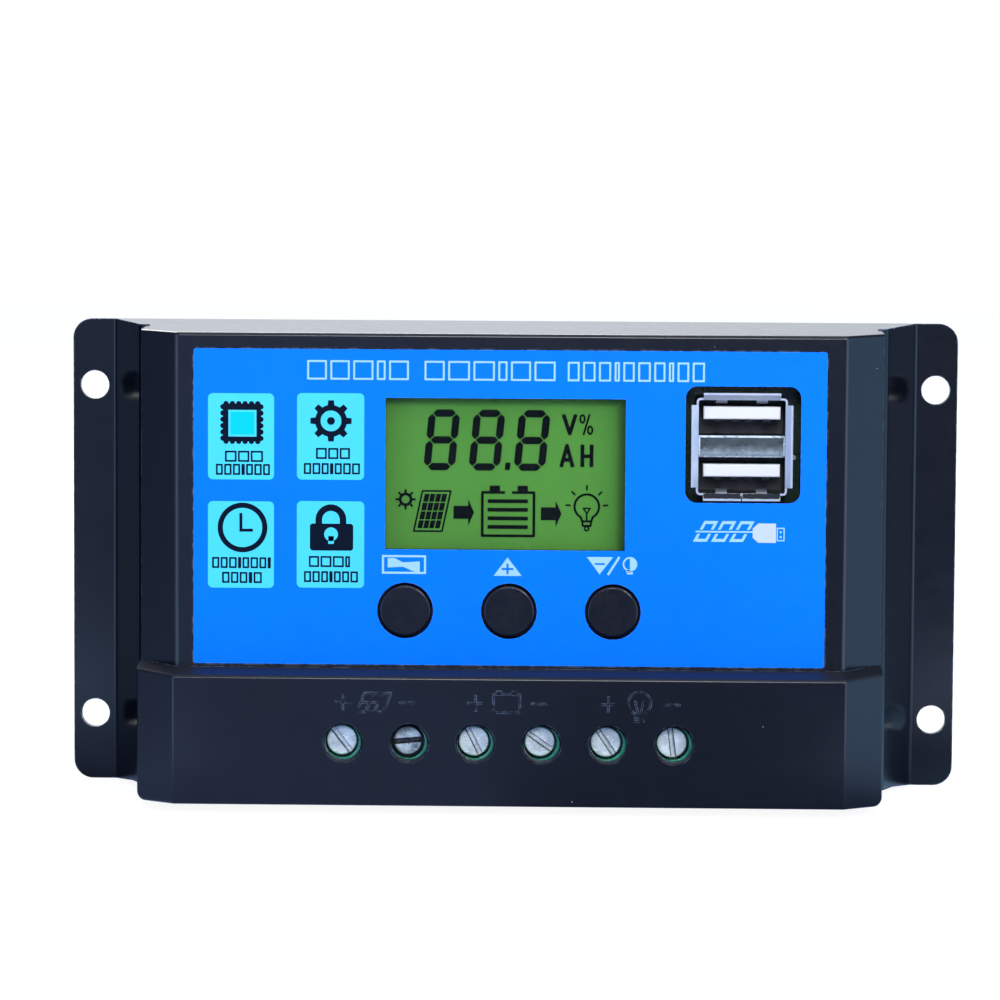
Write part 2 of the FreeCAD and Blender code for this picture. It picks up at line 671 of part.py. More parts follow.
# ---- buttons -------------------------------------------------------------------------------
def button_cap(x):
    cap = rod(x, BUTTON_Z, BUTTON_R, COVER_IN_D - 0.6, CAP_TOP_D)
    cap = round_edges(cap, 0.35, lambda e: abs(-e.Vertexes[0].Point.y - CAP_TOP_D) < 0.01)
    flange = rod(x, BUTTON_Z, BUTTON_R + 1.0, COVER_IN_D - 1.1, COVER_IN_D - 0.3)
    stem = rod(x, BUTTON_Z, 2.1, PLUNGER_D, COVER_IN_D - 1.0)
    return cap.fuse(flange).fuse(stem).removeSplitter()


def switch_body(x):
    body = rounded_block((x - SWITCH_HALF, x + SWITCH_HALF), (BOARD_D, SWITCH_D),
                         (BUTTON_Z - SWITCH_HALF, BUTTON_Z + SWITCH_HALF), 0.4)
    bore = rod(x, BUTTON_Z, PLUNGER_R + 0.08, PLUNGER_LOW_D - BUTTON_TRAVEL - 0.1, SWITCH_D + 1)
    body = body.cut(bore)
    for sx in (-1, 1):
        for sz in (-1, 1):
            stud = rod(x + sx * 2.2, BUTTON_Z + sz * 2.2, 0.4, SWITCH_D - 0.1, SWITCH_D + 0.12)
            body = body.fuse(stud)
    return body.removeSplitter()


def switch_plunger(x):
    return rod(x, BUTTON_Z, PLUNGER_R, PLUNGER_LOW_D, PLUNGER_D)


# ---- terminals -----------------------------------------------------------------------------
def terminal_housing(first):
    """Two-pole block: cage cells, wire mouths at the bottom, screw wells at the front."""
    gap = 0.05
    xs = (terminal_x(first) - PITCH / 2 + gap, terminal_x(first + 1) + PITCH / 2 - gap)
    body = block(xs, (BOARD_D, BLOCK_D), BLOCK_Z)
    body = round_edges(body, 0.5, lambda e: along(e, 0) and -e.Vertexes[0].Point.y > BLOCK_D - 1)
    for i in (first, first + 1):
        x = terminal_x(i)
        body = body.cut(block((x - 3.85, x + 3.85), (BOARD_D - 1, LEDGE_D),
                              (CAGE_Z[0] - 0.25, CAGE_Z[1] + 0.25)))
        mouth = block((x - 3.5, x + 3.5), MOUTH_D, (BLOCK_Z[0] - 1, CAGE_Z[0]))
        body = body.cut(round_edges(mouth, 0.5, lambda e: along(e, 2)))
        body = body.cut(rod(x, TERMINAL_Z, HEAD_R + 0.32, HEAD_D - 0.05, BLOCK_D + 1))
        body = body.cut(rod(x, TERMINAL_Z, SHANK_R + 0.3, LEDGE_D - 1, BLOCK_D))
        body = body.cut(block((x - BAR_W / 2 - 0.05, x + BAR_W / 2 + 0.05),
                              (BOARD_D - 1, BAR_D + BAR_T + 0.05), (CAGE_Z[1], BAR_LEG_Z[1] + 0.05)))
    return body.removeSplitter()


def current_bar(i):
    """Strip that runs through the cage and turns down into the board."""
    x = terminal_x(i)
    flat = block((x - BAR_W / 2, x + BAR_W / 2), (BAR_D, BAR_D + BAR_T), (-27.6, BAR_LEG_Z[1]))
    leg = block((x - BAR_W / 2, x + BAR_W / 2), (BOARD_D + 0.02, BAR_D + BAR_T), BAR_LEG_Z)
    pin = block((x - 0.6, x + 0.6), (BOARD_BACK_D - 0.6, BOARD_D + 1), BAR_LEG_Z)
    return flat.fuse(leg).fuse(pin).removeSplitter()


def clamp_cage(i):
    x = terminal_x(i)
    d0, d1 = CAGE_D, NUT_D + CAGE_NUT
    cage = block((x - CAGE_W / 2, x + CAGE_W / 2), (d0, d1), CAGE_Z)
    cage = round_edges(cage, 0.4, lambda e: along(e, 2))
    inner = block((x - CAGE_W / 2 + CAGE_SIDE, x + CAGE_W / 2 - CAGE_SIDE),
                  (d0 + CAGE_FLOOR, NUT_D), (CAGE_Z[0] - 1, CAGE_Z[1] + 1))
    return cage.cut(inner).cut(rod(x, TERMINAL_Z, SHANK_R + 0.05, NUT_D - 0.5, d1 + 1))


def terminal_screw(i):
    x = terminal_x(i)
    top = HEAD_D + HEAD_T
    head = rod(x, TERMINAL_Z, HEAD_R, HEAD_D, top)
    head = round_edges(head, 0.22, lambda e: abs(-e.Vertexes[0].Point.y - top) < 0.01)
    angle = math.radians(SLOT_ANGLES[i])
    reach = HEAD_R + 1
    a = (x - reach * math.cos(angle), TERMINAL_Z - reach * math.sin(angle))
    b = (x + reach * math.cos(angle), TERMINAL_Z + reach * math.sin(angle))
    head = head.cut(bar_2d(a, b, SLOT_W, top - SLOT_DEEP, top + 1))
    shank = rod(x, TERMINAL_Z, SHANK_R, BAR_D + BAR_T + 0.05, HEAD_D + 0.2)
    tip = BAR_D + BAR_T + 0.05
    shank = shank.makeChamfer(0.3, [e for e in shank.Edges
                                    if abs(-e.Vertexes[0].Point.y - tip) < 0.01
                                    and e.Curve.TypeId == "Part::GeomCircle"])
    return head.fuse(shank).removeSplitter()


# ---- USB sockets ---------------------------------------------------------------------------
def usb_roofs():
    """Inside roof height of the upper and the lower port."""
    return (USB_TOP_Z, USB_BOTTOM_Z + USB_PORT_H)


def usb_flap(inner, outer, across, sideways):
    """Lip bent outwards at the mouth; inner and outer are its two ends as (place, depth)."""
    t = USB_SHEET
    (p0, d0), (p1, d1) = inner, outer
    s = 1 if p1 > p0 else -1
    outline = [(p0, d0), (p0 - s * t, d0), (p1 - s * t, d1), (p1, d1)]
    if sideways:
        return prism_z([(p, d) for p, d in outline], across[0], across[1])
    return prism_x([(d, p) for p, d in outline], across[0], across[1])


def usb_shell():
    x0, x1 = USB_X - USB_IN_X, USB_X + USB_IN_X
    t = USB_SHEET
    d0 = BOARD_D + 0.4
    shell = block((x0 - t, x1 + t), (d0, USB_MOUTH_D), (USB_BOTTOM_Z - t, USB_TOP_Z + t))
    shell = round_edges(shell, 0.6, lambda e: along(e, 1))
    room = block((x0, x1), (d0 - 1, USB_MOUTH_D + 1), (USB_BOTTOM_Z, USB_TOP_Z))
    shell = shell.cut(round_edges(room, 0.3, lambda e: along(e, 1)))
    # lips on all four sides, the bottom one in two halves
    d1 = USB_MOUTH_D
    wide = (USB_X - 5.55, USB_X + 5.55)
    tall = (12.0, 23.9)
    top, low = USB_TOP_Z + t, USB_BOTTOM_Z - t
    lips = [usb_flap((top, d1), (top + USB_LIP, d1 + USB_LIP), wide, False),
            usb_flap((low, d1), (low - USB_LIP, d1 + USB_LIP), (wide[0], USB_X - 0.08), False),
            usb_flap((low, d1), (low - USB_LIP, d1 + USB_LIP), (USB_X + 0.08, wide[1]), False),
            usb_flap((x0 - t, d1), (x0 - t - USB_LIP, d1 + USB_LIP), tall, True),
            usb_flap((x1 + t, d1), (x1 + t + USB_LIP, d1 + USB_LIP), tall, True)]
    for lip in lips:
        shell = shell.fuse(lip)
    # soldered legs
    for sx in (-1, 1):
        for z in USB_LEGS_Z:
            leg_x = sorted((USB_X + sx * (USB_IN_X + 0.02), USB_X + sx * (USB_IN_X + t)))
            shell = shell.fuse(block(leg_x, (BOARD_D - 1.2, d0 + 1), (z - 1, z + 1)))
    return shell.removeSplitter()


def usb_divider():
    """Bent plate that fills the space between the two ports."""
    z0, z1 = USB_BOTTOM_Z + USB_PORT_H, USB_TOP_Z - USB_PORT_H
    half = USB_IN_X - 0.05
    plate = block((USB_X - half, USB_X + half), (BOARD_D + 3.0, USB_MOUTH_D - 0.35), (z0, z1))
    plate = round_edges(plate, 0.6, lambda e: along(e, 0) and -e.Vertexes[0].Point.y > 26
                        and abs(e.Vertexes[0].Point.z - z0) < 0.1)
    hollow = block((USB_X - half + 0.3, USB_X + half - 0.3), (BOARD_D + 2.0, USB_MOUTH_D - 0.75),
                   (z0 + 0.3, z1 - 0.3))
    return plate.cut(hollow)


def usb_insulator():
    base_d = BOARD_D + 2.6
    body = block((USB_X - USB_IN_X + 0.03, USB_X + USB_IN_X - 0.03), (BOARD_D + 0.4, base_d),
                 (USB_BOTTOM_Z + 0.03, USB_TOP_Z - 0.03))
    body = round_edges(body, 0.35, lambda e: along(e, 1))
    for roof in usb_roofs():
        z1 = roof - TONGUE_DROP
        tongue = block((USB_X - TONGUE_W / 2, USB_X + TONGUE_W / 2),
                       (base_d - 0.5, USB_MOUTH_D - 0.6), (z1 - TONGUE_T, z1))
        tongue = round_edges(tongue, 0.25, lambda e: -e.Vertexes[0].Point.y > 27
                             and -e.Vertexes[-1].Point.y > 27)
        body = body.fuse(tongue)
        for x in USB_CONTACTS_X:
            groove = block((USB_X + x - 0.55, USB_X + x + 0.55), (BOARD_D - 1, USB_MOUTH_D - 0.9),
                           (z1 - TONGUE_T - 0.01, z1 - TONGUE_T + 0.35))
            body = body.cut(groove)
    return body.removeSplitter()


def usb_contacts():
    """Eight springy strips lying in the grooves under the tongues, down to the board."""
    strips = []
    for roof in usb_roofs():
        z = roof - TONGUE_DROP - TONGUE_T
        for x in USB_CONTACTS_X:
            strips.append(block((USB_X + x - 0.5, USB_X + x + 0.5),
                                (BOARD_D - 1.0, USB_MOUTH_D - 1.4), (z + 0.02, z + 0.3)))
    return strips


# ---- board and what it carries -------------------------------------------------------------
def main_board():
    board = block((-BOARD_X, BOARD_X), (BOARD_BACK_D, BOARD_D), (-BOARD_Z, BOARD_Z))
    for x, z in case_screw_places():
        sx, sz = (1 if x > 0 else -1), (1 if z > 0 else -1)
        xs = sorted((sx * (POST_X - POST_R - 0.5), sx * 60))
        zs = sorted((sz * (POST_Z - POST_R - 0.5), sz * 40))
        board = board.cut(block(xs, (0, FAR_Z), zs))
    for x, z in standoff_places():
        board = board.cut(rod(x, z, BOARD_SCREW_R + 0.15, 0, FAR_Z))
    for i in range(POLES):
        x = terminal_x(i)
        board = board.cut(block((x - 0.75, x + 0.75), (0, FAR_Z),
                                (BAR_LEG_Z[0] - 0.15, BAR_LEG_Z[1] + 0.15)))
    for k in lcd_pins():
        box = k.BoundBox
        board = board.cut(rod(box.Center.x, box.Center.z, 0.45, 0, FAR_Z))
    for roof in usb_roofs():
        z = roof - TONGUE_DROP - TONGUE_T + 0.16
        for x in USB_CONTACTS_X:
            board = board.cut(rod(USB_X + x, z, 0.6, 0, FAR_Z))
    for sx in (-1, 1):
        for z in USB_LEGS_Z:
            x = USB_X + sx * (USB_IN_X + 0.16)
            board = board.cut(block((x - 0.35, x + 0.35), (0, FAR_Z), (z - 1.2, z + 1.2)))
    return board


def standoff(x, z):
    body = rod(x, z, STANDOFF_R, CROWN_D, BOARD_BACK_D)
    neck = rod(x, z, STANDOFF_R - 0.72, CROWN_D - SHEET, CROWN_D + 0.2)
    return body.fuse(neck).cut(rod(x, z, BOARD_SCREW_R + 0.01, 0, FAR_Z)).removeSplitter()


def cross_recess(x, z, r, top, deep):
    """Cross-shaped screwdriver recess, measured from the head's top at depth top."""
    lo, hi = sorted((top - deep, top + deep))
    arms = [block((x - r, x + r), (lo, hi), (z - 0.4, z + 0.4)),
            block((x - 0.4, x + 0.4), (lo, hi), (z - r, z + r))]
    return arms[0].fuse(arms[1])


def board_screw(x, z):
    top = BOARD_D + BOARD_HEAD_T
    head = rod(x, z, BOARD_HEAD_R, BOARD_D, top)
    head = round_edges(head, 0.7, lambda e: abs(-e.Vertexes[0].Point.y - top) < 0.01)
    shank = rod(x, z, BOARD_SCREW_R, CROWN_D - SHEET, BOARD_D + 0.2)
    return head.fuse(shank).cut(cross_recess(x, z, 1.4, top, 0.9)).removeSplitter()


def case_screw(x, z):
    seat = CROWN_D - SHEET
    low = seat - CASE_HEAD_T
    head = rod(x, z, CASE_HEAD_R, low, seat)
    head = round_edges(head, 0.8, lambda e: abs(-e.Vertexes[0].Point.y - low) < 0.01)
    shank = rod(x, z, CASE_SCREW_R - 0.01, seat - 0.2, seat + CASE_SCREW_LEN)
    return head.fuse(shank).cut(cross_recess(x, z, 1.5, low, 1.0)).removeSplitter()


def power_transistors():
    return [block((x - 2.6, x + 2.6), (BOARD_BACK_D - TRANSISTOR_T, BOARD_BACK_D),
                  (TRANSISTOR_Z - 3.1, TRANSISTOR_Z + 3.1)) for x in TRANSISTOR_PLACES]


def thermal_pad():
    return block((-25.5, 25.5), (CROWN_D, BOARD_BACK_D - TRANSISTOR_T),
                 (TRANSISTOR_Z - 4.2, TRANSISTOR_Z + 4.2))


def chip(xc, zc, half_x, half_z, tall, legs, pitch):
    """Moulded chip with a row of legs along both X sides."""
    body = block((xc - half_x, xc + half_x), (BOARD_D + 0.1, BOARD_D + tall),
                 (zc - half_z, zc + half_z))
    body = round_edges(body, 0.12, lambda e: -e.Vertexes[0].Point.y > BOARD_D + tall - 0.1
                       and -e.Vertexes[-1].Point.y > BOARD_D + tall - 0.1)
    for sx in (-1, 1):
        for k in range(legs):
            z = zc + (k - (legs - 1) / 2) * pitch
            xs = sorted((xc + sx * (half_x - 0.2), xc + sx * (half_x + 1.1)))
            body = body.fuse(block(xs, (BOARD_D, BOARD_D + 0.3), (z - 0.15, z + 0.15)))
    return body.removeSplitter()


def microcontroller():
    return chip(-31.0, 1.5, 3.5, 3.5, 1.5, 8, 0.8)


def usb_regulator():
    return chip(24.0, -7.5, 1.95, 2.45, 1.5, 4, 1.27)


def lying_capacitor():
    """Electrolytic can on its side, with a groove near its rubber end."""
    r, length, x0, zc = 3.9, 15.0, -46.5, 16.0
    dc = BOARD_D + r + 0.05
    can = Part.makeCylinder(r, length, at(x0, dc, zc), FreeCAD.Vector(1, 0, 0))
    can = round_edges(can, 0.5, lambda e: e.Curve.TypeId == "Part::GeomCircle")
    groove = Part.makeTorus(r + 0.25, 0.55, at(x0 + length - 2.2, dc, zc),
                            FreeCAD.Vector(1, 0, 0))
    can = can.cut(groove)
    for dz in (-1.75, 1.75):
        lead = block((x0 + length - 0.5, x0 + length + 1.6), (dc - 0.3, dc + 0.3),
                     (zc + dz - 0.3, zc + dz + 0.3))
        drop = block((x0 + length + 1.0, x0 + length + 1.6), (BOARD_D, dc + 0.3),
                     (zc + dz - 0.3, zc + dz + 0.3))
        can = can.fuse(lead).fuse(drop)
    return can.removeSplitter()


def standing_capacitor():
    x, z, r, tall = 44.5, -4.0, 3.15, 7.4
    can = rod(x, z, r, BOARD_D, BOARD_D + tall)
    can = round_edges(can, 0.4, lambda e: abs(-e.Vertexes[0].Point.y - BOARD_D - tall) < 0.01)
    groove = Part.makeTorus(r + 0.25, 0.5, at(x, BOARD_D + 1.5, z), FreeCAD.Vector(0, 1, 0))
    return can.cut(groove)


def inductor():
    x, z, half, tall = 32.5, -2.0, 5.0, 5.0
    base = rounded_block((x - half, x + half), (BOARD_D, BOARD_D + tall), (z - half, z + half), 1.2)
    well = tube(x, z, 3.9, 2.6, BOARD_D + tall - 0.5, BOARD_D + tall + 1)
    return base.cut(well)


def diode():
    x, z = 24.5, 3.0
    body = block((x - 1.3, x + 1.3), (BOARD_D + 0.1, BOARD_D + 2.2), (z - 2.1, z + 2.1))
    for sz in (-1, 1):
        zs = sorted((z + sz * 2.0, z + sz * 2.7))
        body = body.fuse(block((x - 0.8, x + 0.8), (BOARD_D, BOARD_D + 1.0), zs))
    return body.removeSplitter()


def current_shunt():
    """Bent strip of resistance alloy that stands on the board in two holes' width."""
    x, z, w, reach, tall, t = -36.0, -13.0, 2.0, 6.0, 4.0, 0.8
    outer = block((x - reach, x + reach), (BOARD_D, BOARD_D + tall), (z - w, z + w))
    outer = round_edges(outer, 1.2, lambda e: along(e, 2)
                        and -e.Vertexes[0].Point.y > BOARD_D + 1)
    room = block((x - reach + t, x + reach - t), (BOARD_D - 1, BOARD_D + tall - t),
                 (z - w - 1, z + w + 1))
    return outer.cut(room)


# ---- write every node ----------------------------------------------------------------------
def main():
    os.makedirs("parts", exist_ok=True)
    save("chassis", chassis())
    save("front_cover", front_cover())
    save("face_label", face_label())
    save("display_window", display_window())
    save("lcd_front_glass", lcd_front_glass())
    save("lcd_rear_glass", lcd_rear_glass())
    save("lcd_backlight", lcd_backlight())
    save_group("lcd_segments", lcd_segments())
    save_group("lcd_pins", lcd_pins())
    save("main_board", main_board())
    save_group("board_standoffs", [standoff(x, z) for x, z in standoff_places()])
    save_group("board_screws", [board_screw(x, z) for x, z in standoff_places()])
    save_group("case_screws", [case_screw(x, z) for x, z in case_screw_places()])
    save_group("power_transistors", power_transistors())
    save("thermal_pad", thermal_pad())
    for name, x in zip(BUTTON_NAMES, BUTTON_X):
        save("button_cap_" + name, button_cap(x))
        save("switch_body_" + name, switch_body(x))
        save("switch_plunger_" + name, switch_plunger(x))
    for k, name in enumerate(("solar", "battery", "load")):
        save("terminal_housing_" + name, terminal_housing(k * BLOCK_POLES))
    for i in range(POLES):
        number = str(i + 1)
        save("terminal_screw_" + number, terminal_screw(i))
        save("clamp_cage_" + number, clamp_cage(i))
        save("current_bar_" + number, current_bar(i))
    save("usb_shell", usb_shell())
    save("usb_divider", usb_divider())
    save("usb_insulator", usb_insulator())
    save_group("usb_contacts", usb_contacts())
    save("microcontroller", microcontroller())
    save("usb_regulator", usb_regulator())
    save("capacitor_lying", lying_capacitor())
    save("capacitor_standing", standing_capacitor())
    save("inductor", inductor())
    save("diode", diode())
    save("current_shunt", current_shunt())


main()
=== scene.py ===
"""Looks of a wall-mounting solar charge controller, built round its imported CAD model."""
import math
import random

import bmesh
import bpy
from mathutils import Matrix, Vector


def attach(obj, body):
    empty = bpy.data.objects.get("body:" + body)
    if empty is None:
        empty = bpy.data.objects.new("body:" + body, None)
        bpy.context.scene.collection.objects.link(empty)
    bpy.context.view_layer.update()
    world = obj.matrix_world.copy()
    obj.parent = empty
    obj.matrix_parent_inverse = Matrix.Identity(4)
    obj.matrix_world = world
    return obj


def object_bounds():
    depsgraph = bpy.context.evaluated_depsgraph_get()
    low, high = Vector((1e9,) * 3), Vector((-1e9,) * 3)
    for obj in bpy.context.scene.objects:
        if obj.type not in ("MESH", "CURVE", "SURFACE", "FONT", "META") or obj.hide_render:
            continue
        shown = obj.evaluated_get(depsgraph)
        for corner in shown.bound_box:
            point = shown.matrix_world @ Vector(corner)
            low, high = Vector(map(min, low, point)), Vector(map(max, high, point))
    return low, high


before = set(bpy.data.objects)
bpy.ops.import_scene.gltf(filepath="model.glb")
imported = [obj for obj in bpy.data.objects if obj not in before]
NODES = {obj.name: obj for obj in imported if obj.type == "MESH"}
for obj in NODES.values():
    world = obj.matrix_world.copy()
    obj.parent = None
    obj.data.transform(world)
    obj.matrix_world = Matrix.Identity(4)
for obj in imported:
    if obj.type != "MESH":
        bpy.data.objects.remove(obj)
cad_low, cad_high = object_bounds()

MM = 0.001

# Camera: where it stands (mm), how it is turned (degrees) and its lens (mm on a 36 mm sensor).
CAMERA_AT = (9.4, -579.7, 51.48)
CAMERA_YAW = 1.137
CAMERA_PITCH = 4.305
CAMERA_ROLL = 0.343
CAMERA_LENS = 137.99
CAMERA_SENSOR = 36.0

# Studio: size of the floor and how far it lies below the object (m), its own light and its albedo.
FLOOR_SIZE = 6.0
FLOOR_GAP = 0.00005
FLOOR_GLOW = 0.92
FLOOR_ALBEDO = 0.20

# What the object mirrors: dim blue in front, brighter at both sides, white behind and dim above.
ROOM_FRONT = (0.30, 0.42, 0.78)
ROOM_RIGHT = (0.45, 0.80, 1.25)
ROOM_RIGHT_PANEL = (1.5, 1.8, 2.7)
ROOM_LEFT_PANEL = (0.8, 1.2, 1.8)
ROOM_BACK = (1.00, 1.06, 1.16)
ROOM_ABOVE = (0.24, 0.28, 0.33)

# Print on the face label, in mm: depth of the film's face, thickness of a layer, how far a layer sinks in.
FILM_D = 28.85
LAYER = 0.010
INK_SINK = 0.004
CAPTION_GAP = 0.2
CAPTION_LINE = 0.26
HEADING_Z = (27.2, 30.0)
HEADING_GAP = 0.5
HEADING_LINE = 0.27
NARROW_SHARE = 0.45                # width of a narrow box beside a full one
CABLE_Z = 5.65                     # height of the printed cable under the sockets

# Opening in front of the display: its right and top edges, and how far its shade reaches.
WINDOW_RIGHT = 16.5
WINDOW_TOP = 24.65
SHADE_W = 1.5

# USB sockets: middle of both, divider between them, and the springs pressed from sheet.
USB_X = 33.25
DIVIDER_TOP = 19.28
DIVIDER_BOTTOM = 16.46
DIVIDER_HALF_W = 6.10
DIVIDER_HIGHLIGHT_W = 0.16              # painted highlight along the top and the foot and at the sides
DIVIDER_SIDE_HIGHLIGHT_W = 0.18
SHELL_ROOF = 24.6
SHELL_FLOOR = 11.15
TONGUES_LOW = (21.8, 13.49)
SPRING_T = 0.12
LATCH_X = 2.9
LATCH_HALF_W = 0.8
CONTACTS_X = (-3.5, -1.0, 1.0, 3.5)
BEND_HALF_W = 0.5
LATCH_RISE = ((27.5, 0.02), (27.0, 0.28), (26.4, 0.44), (25.6, 0.46), (24.6, 0.30), (23.8, 0.05))
BEND_DROP = ((27.5, 0.02), (27.4, 0.30), (27.1, 0.42), (26.0, 0.34), (25.2, 0.16), (24.6, 0.0))

random.seed(7)


# ---------------------------------------------------------------- shader graph helpers
def plug(tree, socket, value):
    """Sets a socket, or links another socket to it."""
    if isinstance(value, bpy.types.NodeSocket):
        tree.links.new(value, socket)
    else:
        socket.default_value = value


def node(tree, kind, inputs=None, **settings):
    made = tree.nodes.new(kind)
    for key, value in settings.items():
        setattr(made, key, value)
    for key, value in (inputs or {}).items():
        plug(tree, made.inputs[key], value)
    return made


def maths(tree, operation, a, b=0.0, clamp=False):
    made = node(tree, "ShaderNodeMath", {0: a, 1: b}, operation=operation)
    made.use_clamp = clamp
    return made.outputs[0]


def ramp(tree, value, low, high, to_low=0.0, to_high=1.0):
    """Smoothly maps value from low..high to to_low..to_high, and clamps it."""
    inputs = {"Value": value, "From Min": low, "From Max": high, "To Min": to_low, "To Max": to_high}
    return node(tree, "ShaderNodeMapRange", inputs, interpolation_type="SMOOTHSTEP").outputs[0]


def principled(tree):
    """The shader that surface() made."""
    return next(n for n in tree.nodes if n.type == "BSDF_PRINCIPLED")


def blend_colours(tree, factor, a, b, blend_type="MIX"):
    made = node(tree, "ShaderNodeMix", {0: factor, 6: a, 7: b}, data_type="RGBA", blend_type=blend_type)
    return made.outputs[2]


def noise(tree, where, scale, detail=3.0, rough=0.55, distortion=0.0):
    inputs = {"Vector": where, "Scale": scale, "Detail": detail, "Roughness": rough, "Distortion": distortion}
    return node(tree, "ShaderNodeTexNoise", inputs).outputs[0]


def millimetres(tree, stretch=(1.0, 1.0, 1.0)):
    """The piece's own coordinates in mm, which travel with its body."""
    place = node(tree, "ShaderNodeTexCoord").outputs["Object"]
    scale = [1000.0 * s for s in stretch]
    return node(tree, "ShaderNodeMapping", {"Vector": place, "Scale": scale}).outputs[0]


def rgba(colour, gain=1.0):
    return (colour[0] * gain, colour[1] * gain, colour[2] * gain, 1.0)


def edge_mask(tree, radius_mm, low, high):
    """1 on sharp outer and inner edges, 0 on flat faces."""
    soft = node(tree, "ShaderNodeBevel", {"Radius": radius_mm * MM}, samples=6).outputs[0]
    sharp = node(tree, "ShaderNodeNewGeometry").outputs["Normal"]
    dot = node(tree, "ShaderNodeVectorMath", {0: soft, 1: sharp}, operation="DOT_PRODUCT").outputs["Value"]
    return ramp(tree, dot, high, low)


def upward(tree):
    normal = node(tree, "ShaderNodeNewGeometry").outputs["Normal"]
    split = node(tree, "ShaderNodeSeparateXYZ", {0: normal})
    return ramp(tree, split.outputs["Z"], 0.30, 0.65)


def specks(tree, where, scale, radius, share):
    """Scattered round specks: radius is in cells, share is how many cells hold one."""
    cells = node(tree, "ShaderNodeTexVoronoi", {"Vector": where, "Scale": scale})
    near = maths(tree, "LESS_THAN", cells.outputs["Distance"], radius)
    draw = node(tree, "ShaderNodeSeparateColor", {0: cells.outputs["Color"]}).outputs[0]
    chosen = maths(tree, "LESS_THAN", draw, share)
    return maths(tree, "MULTIPLY", near, chosen)


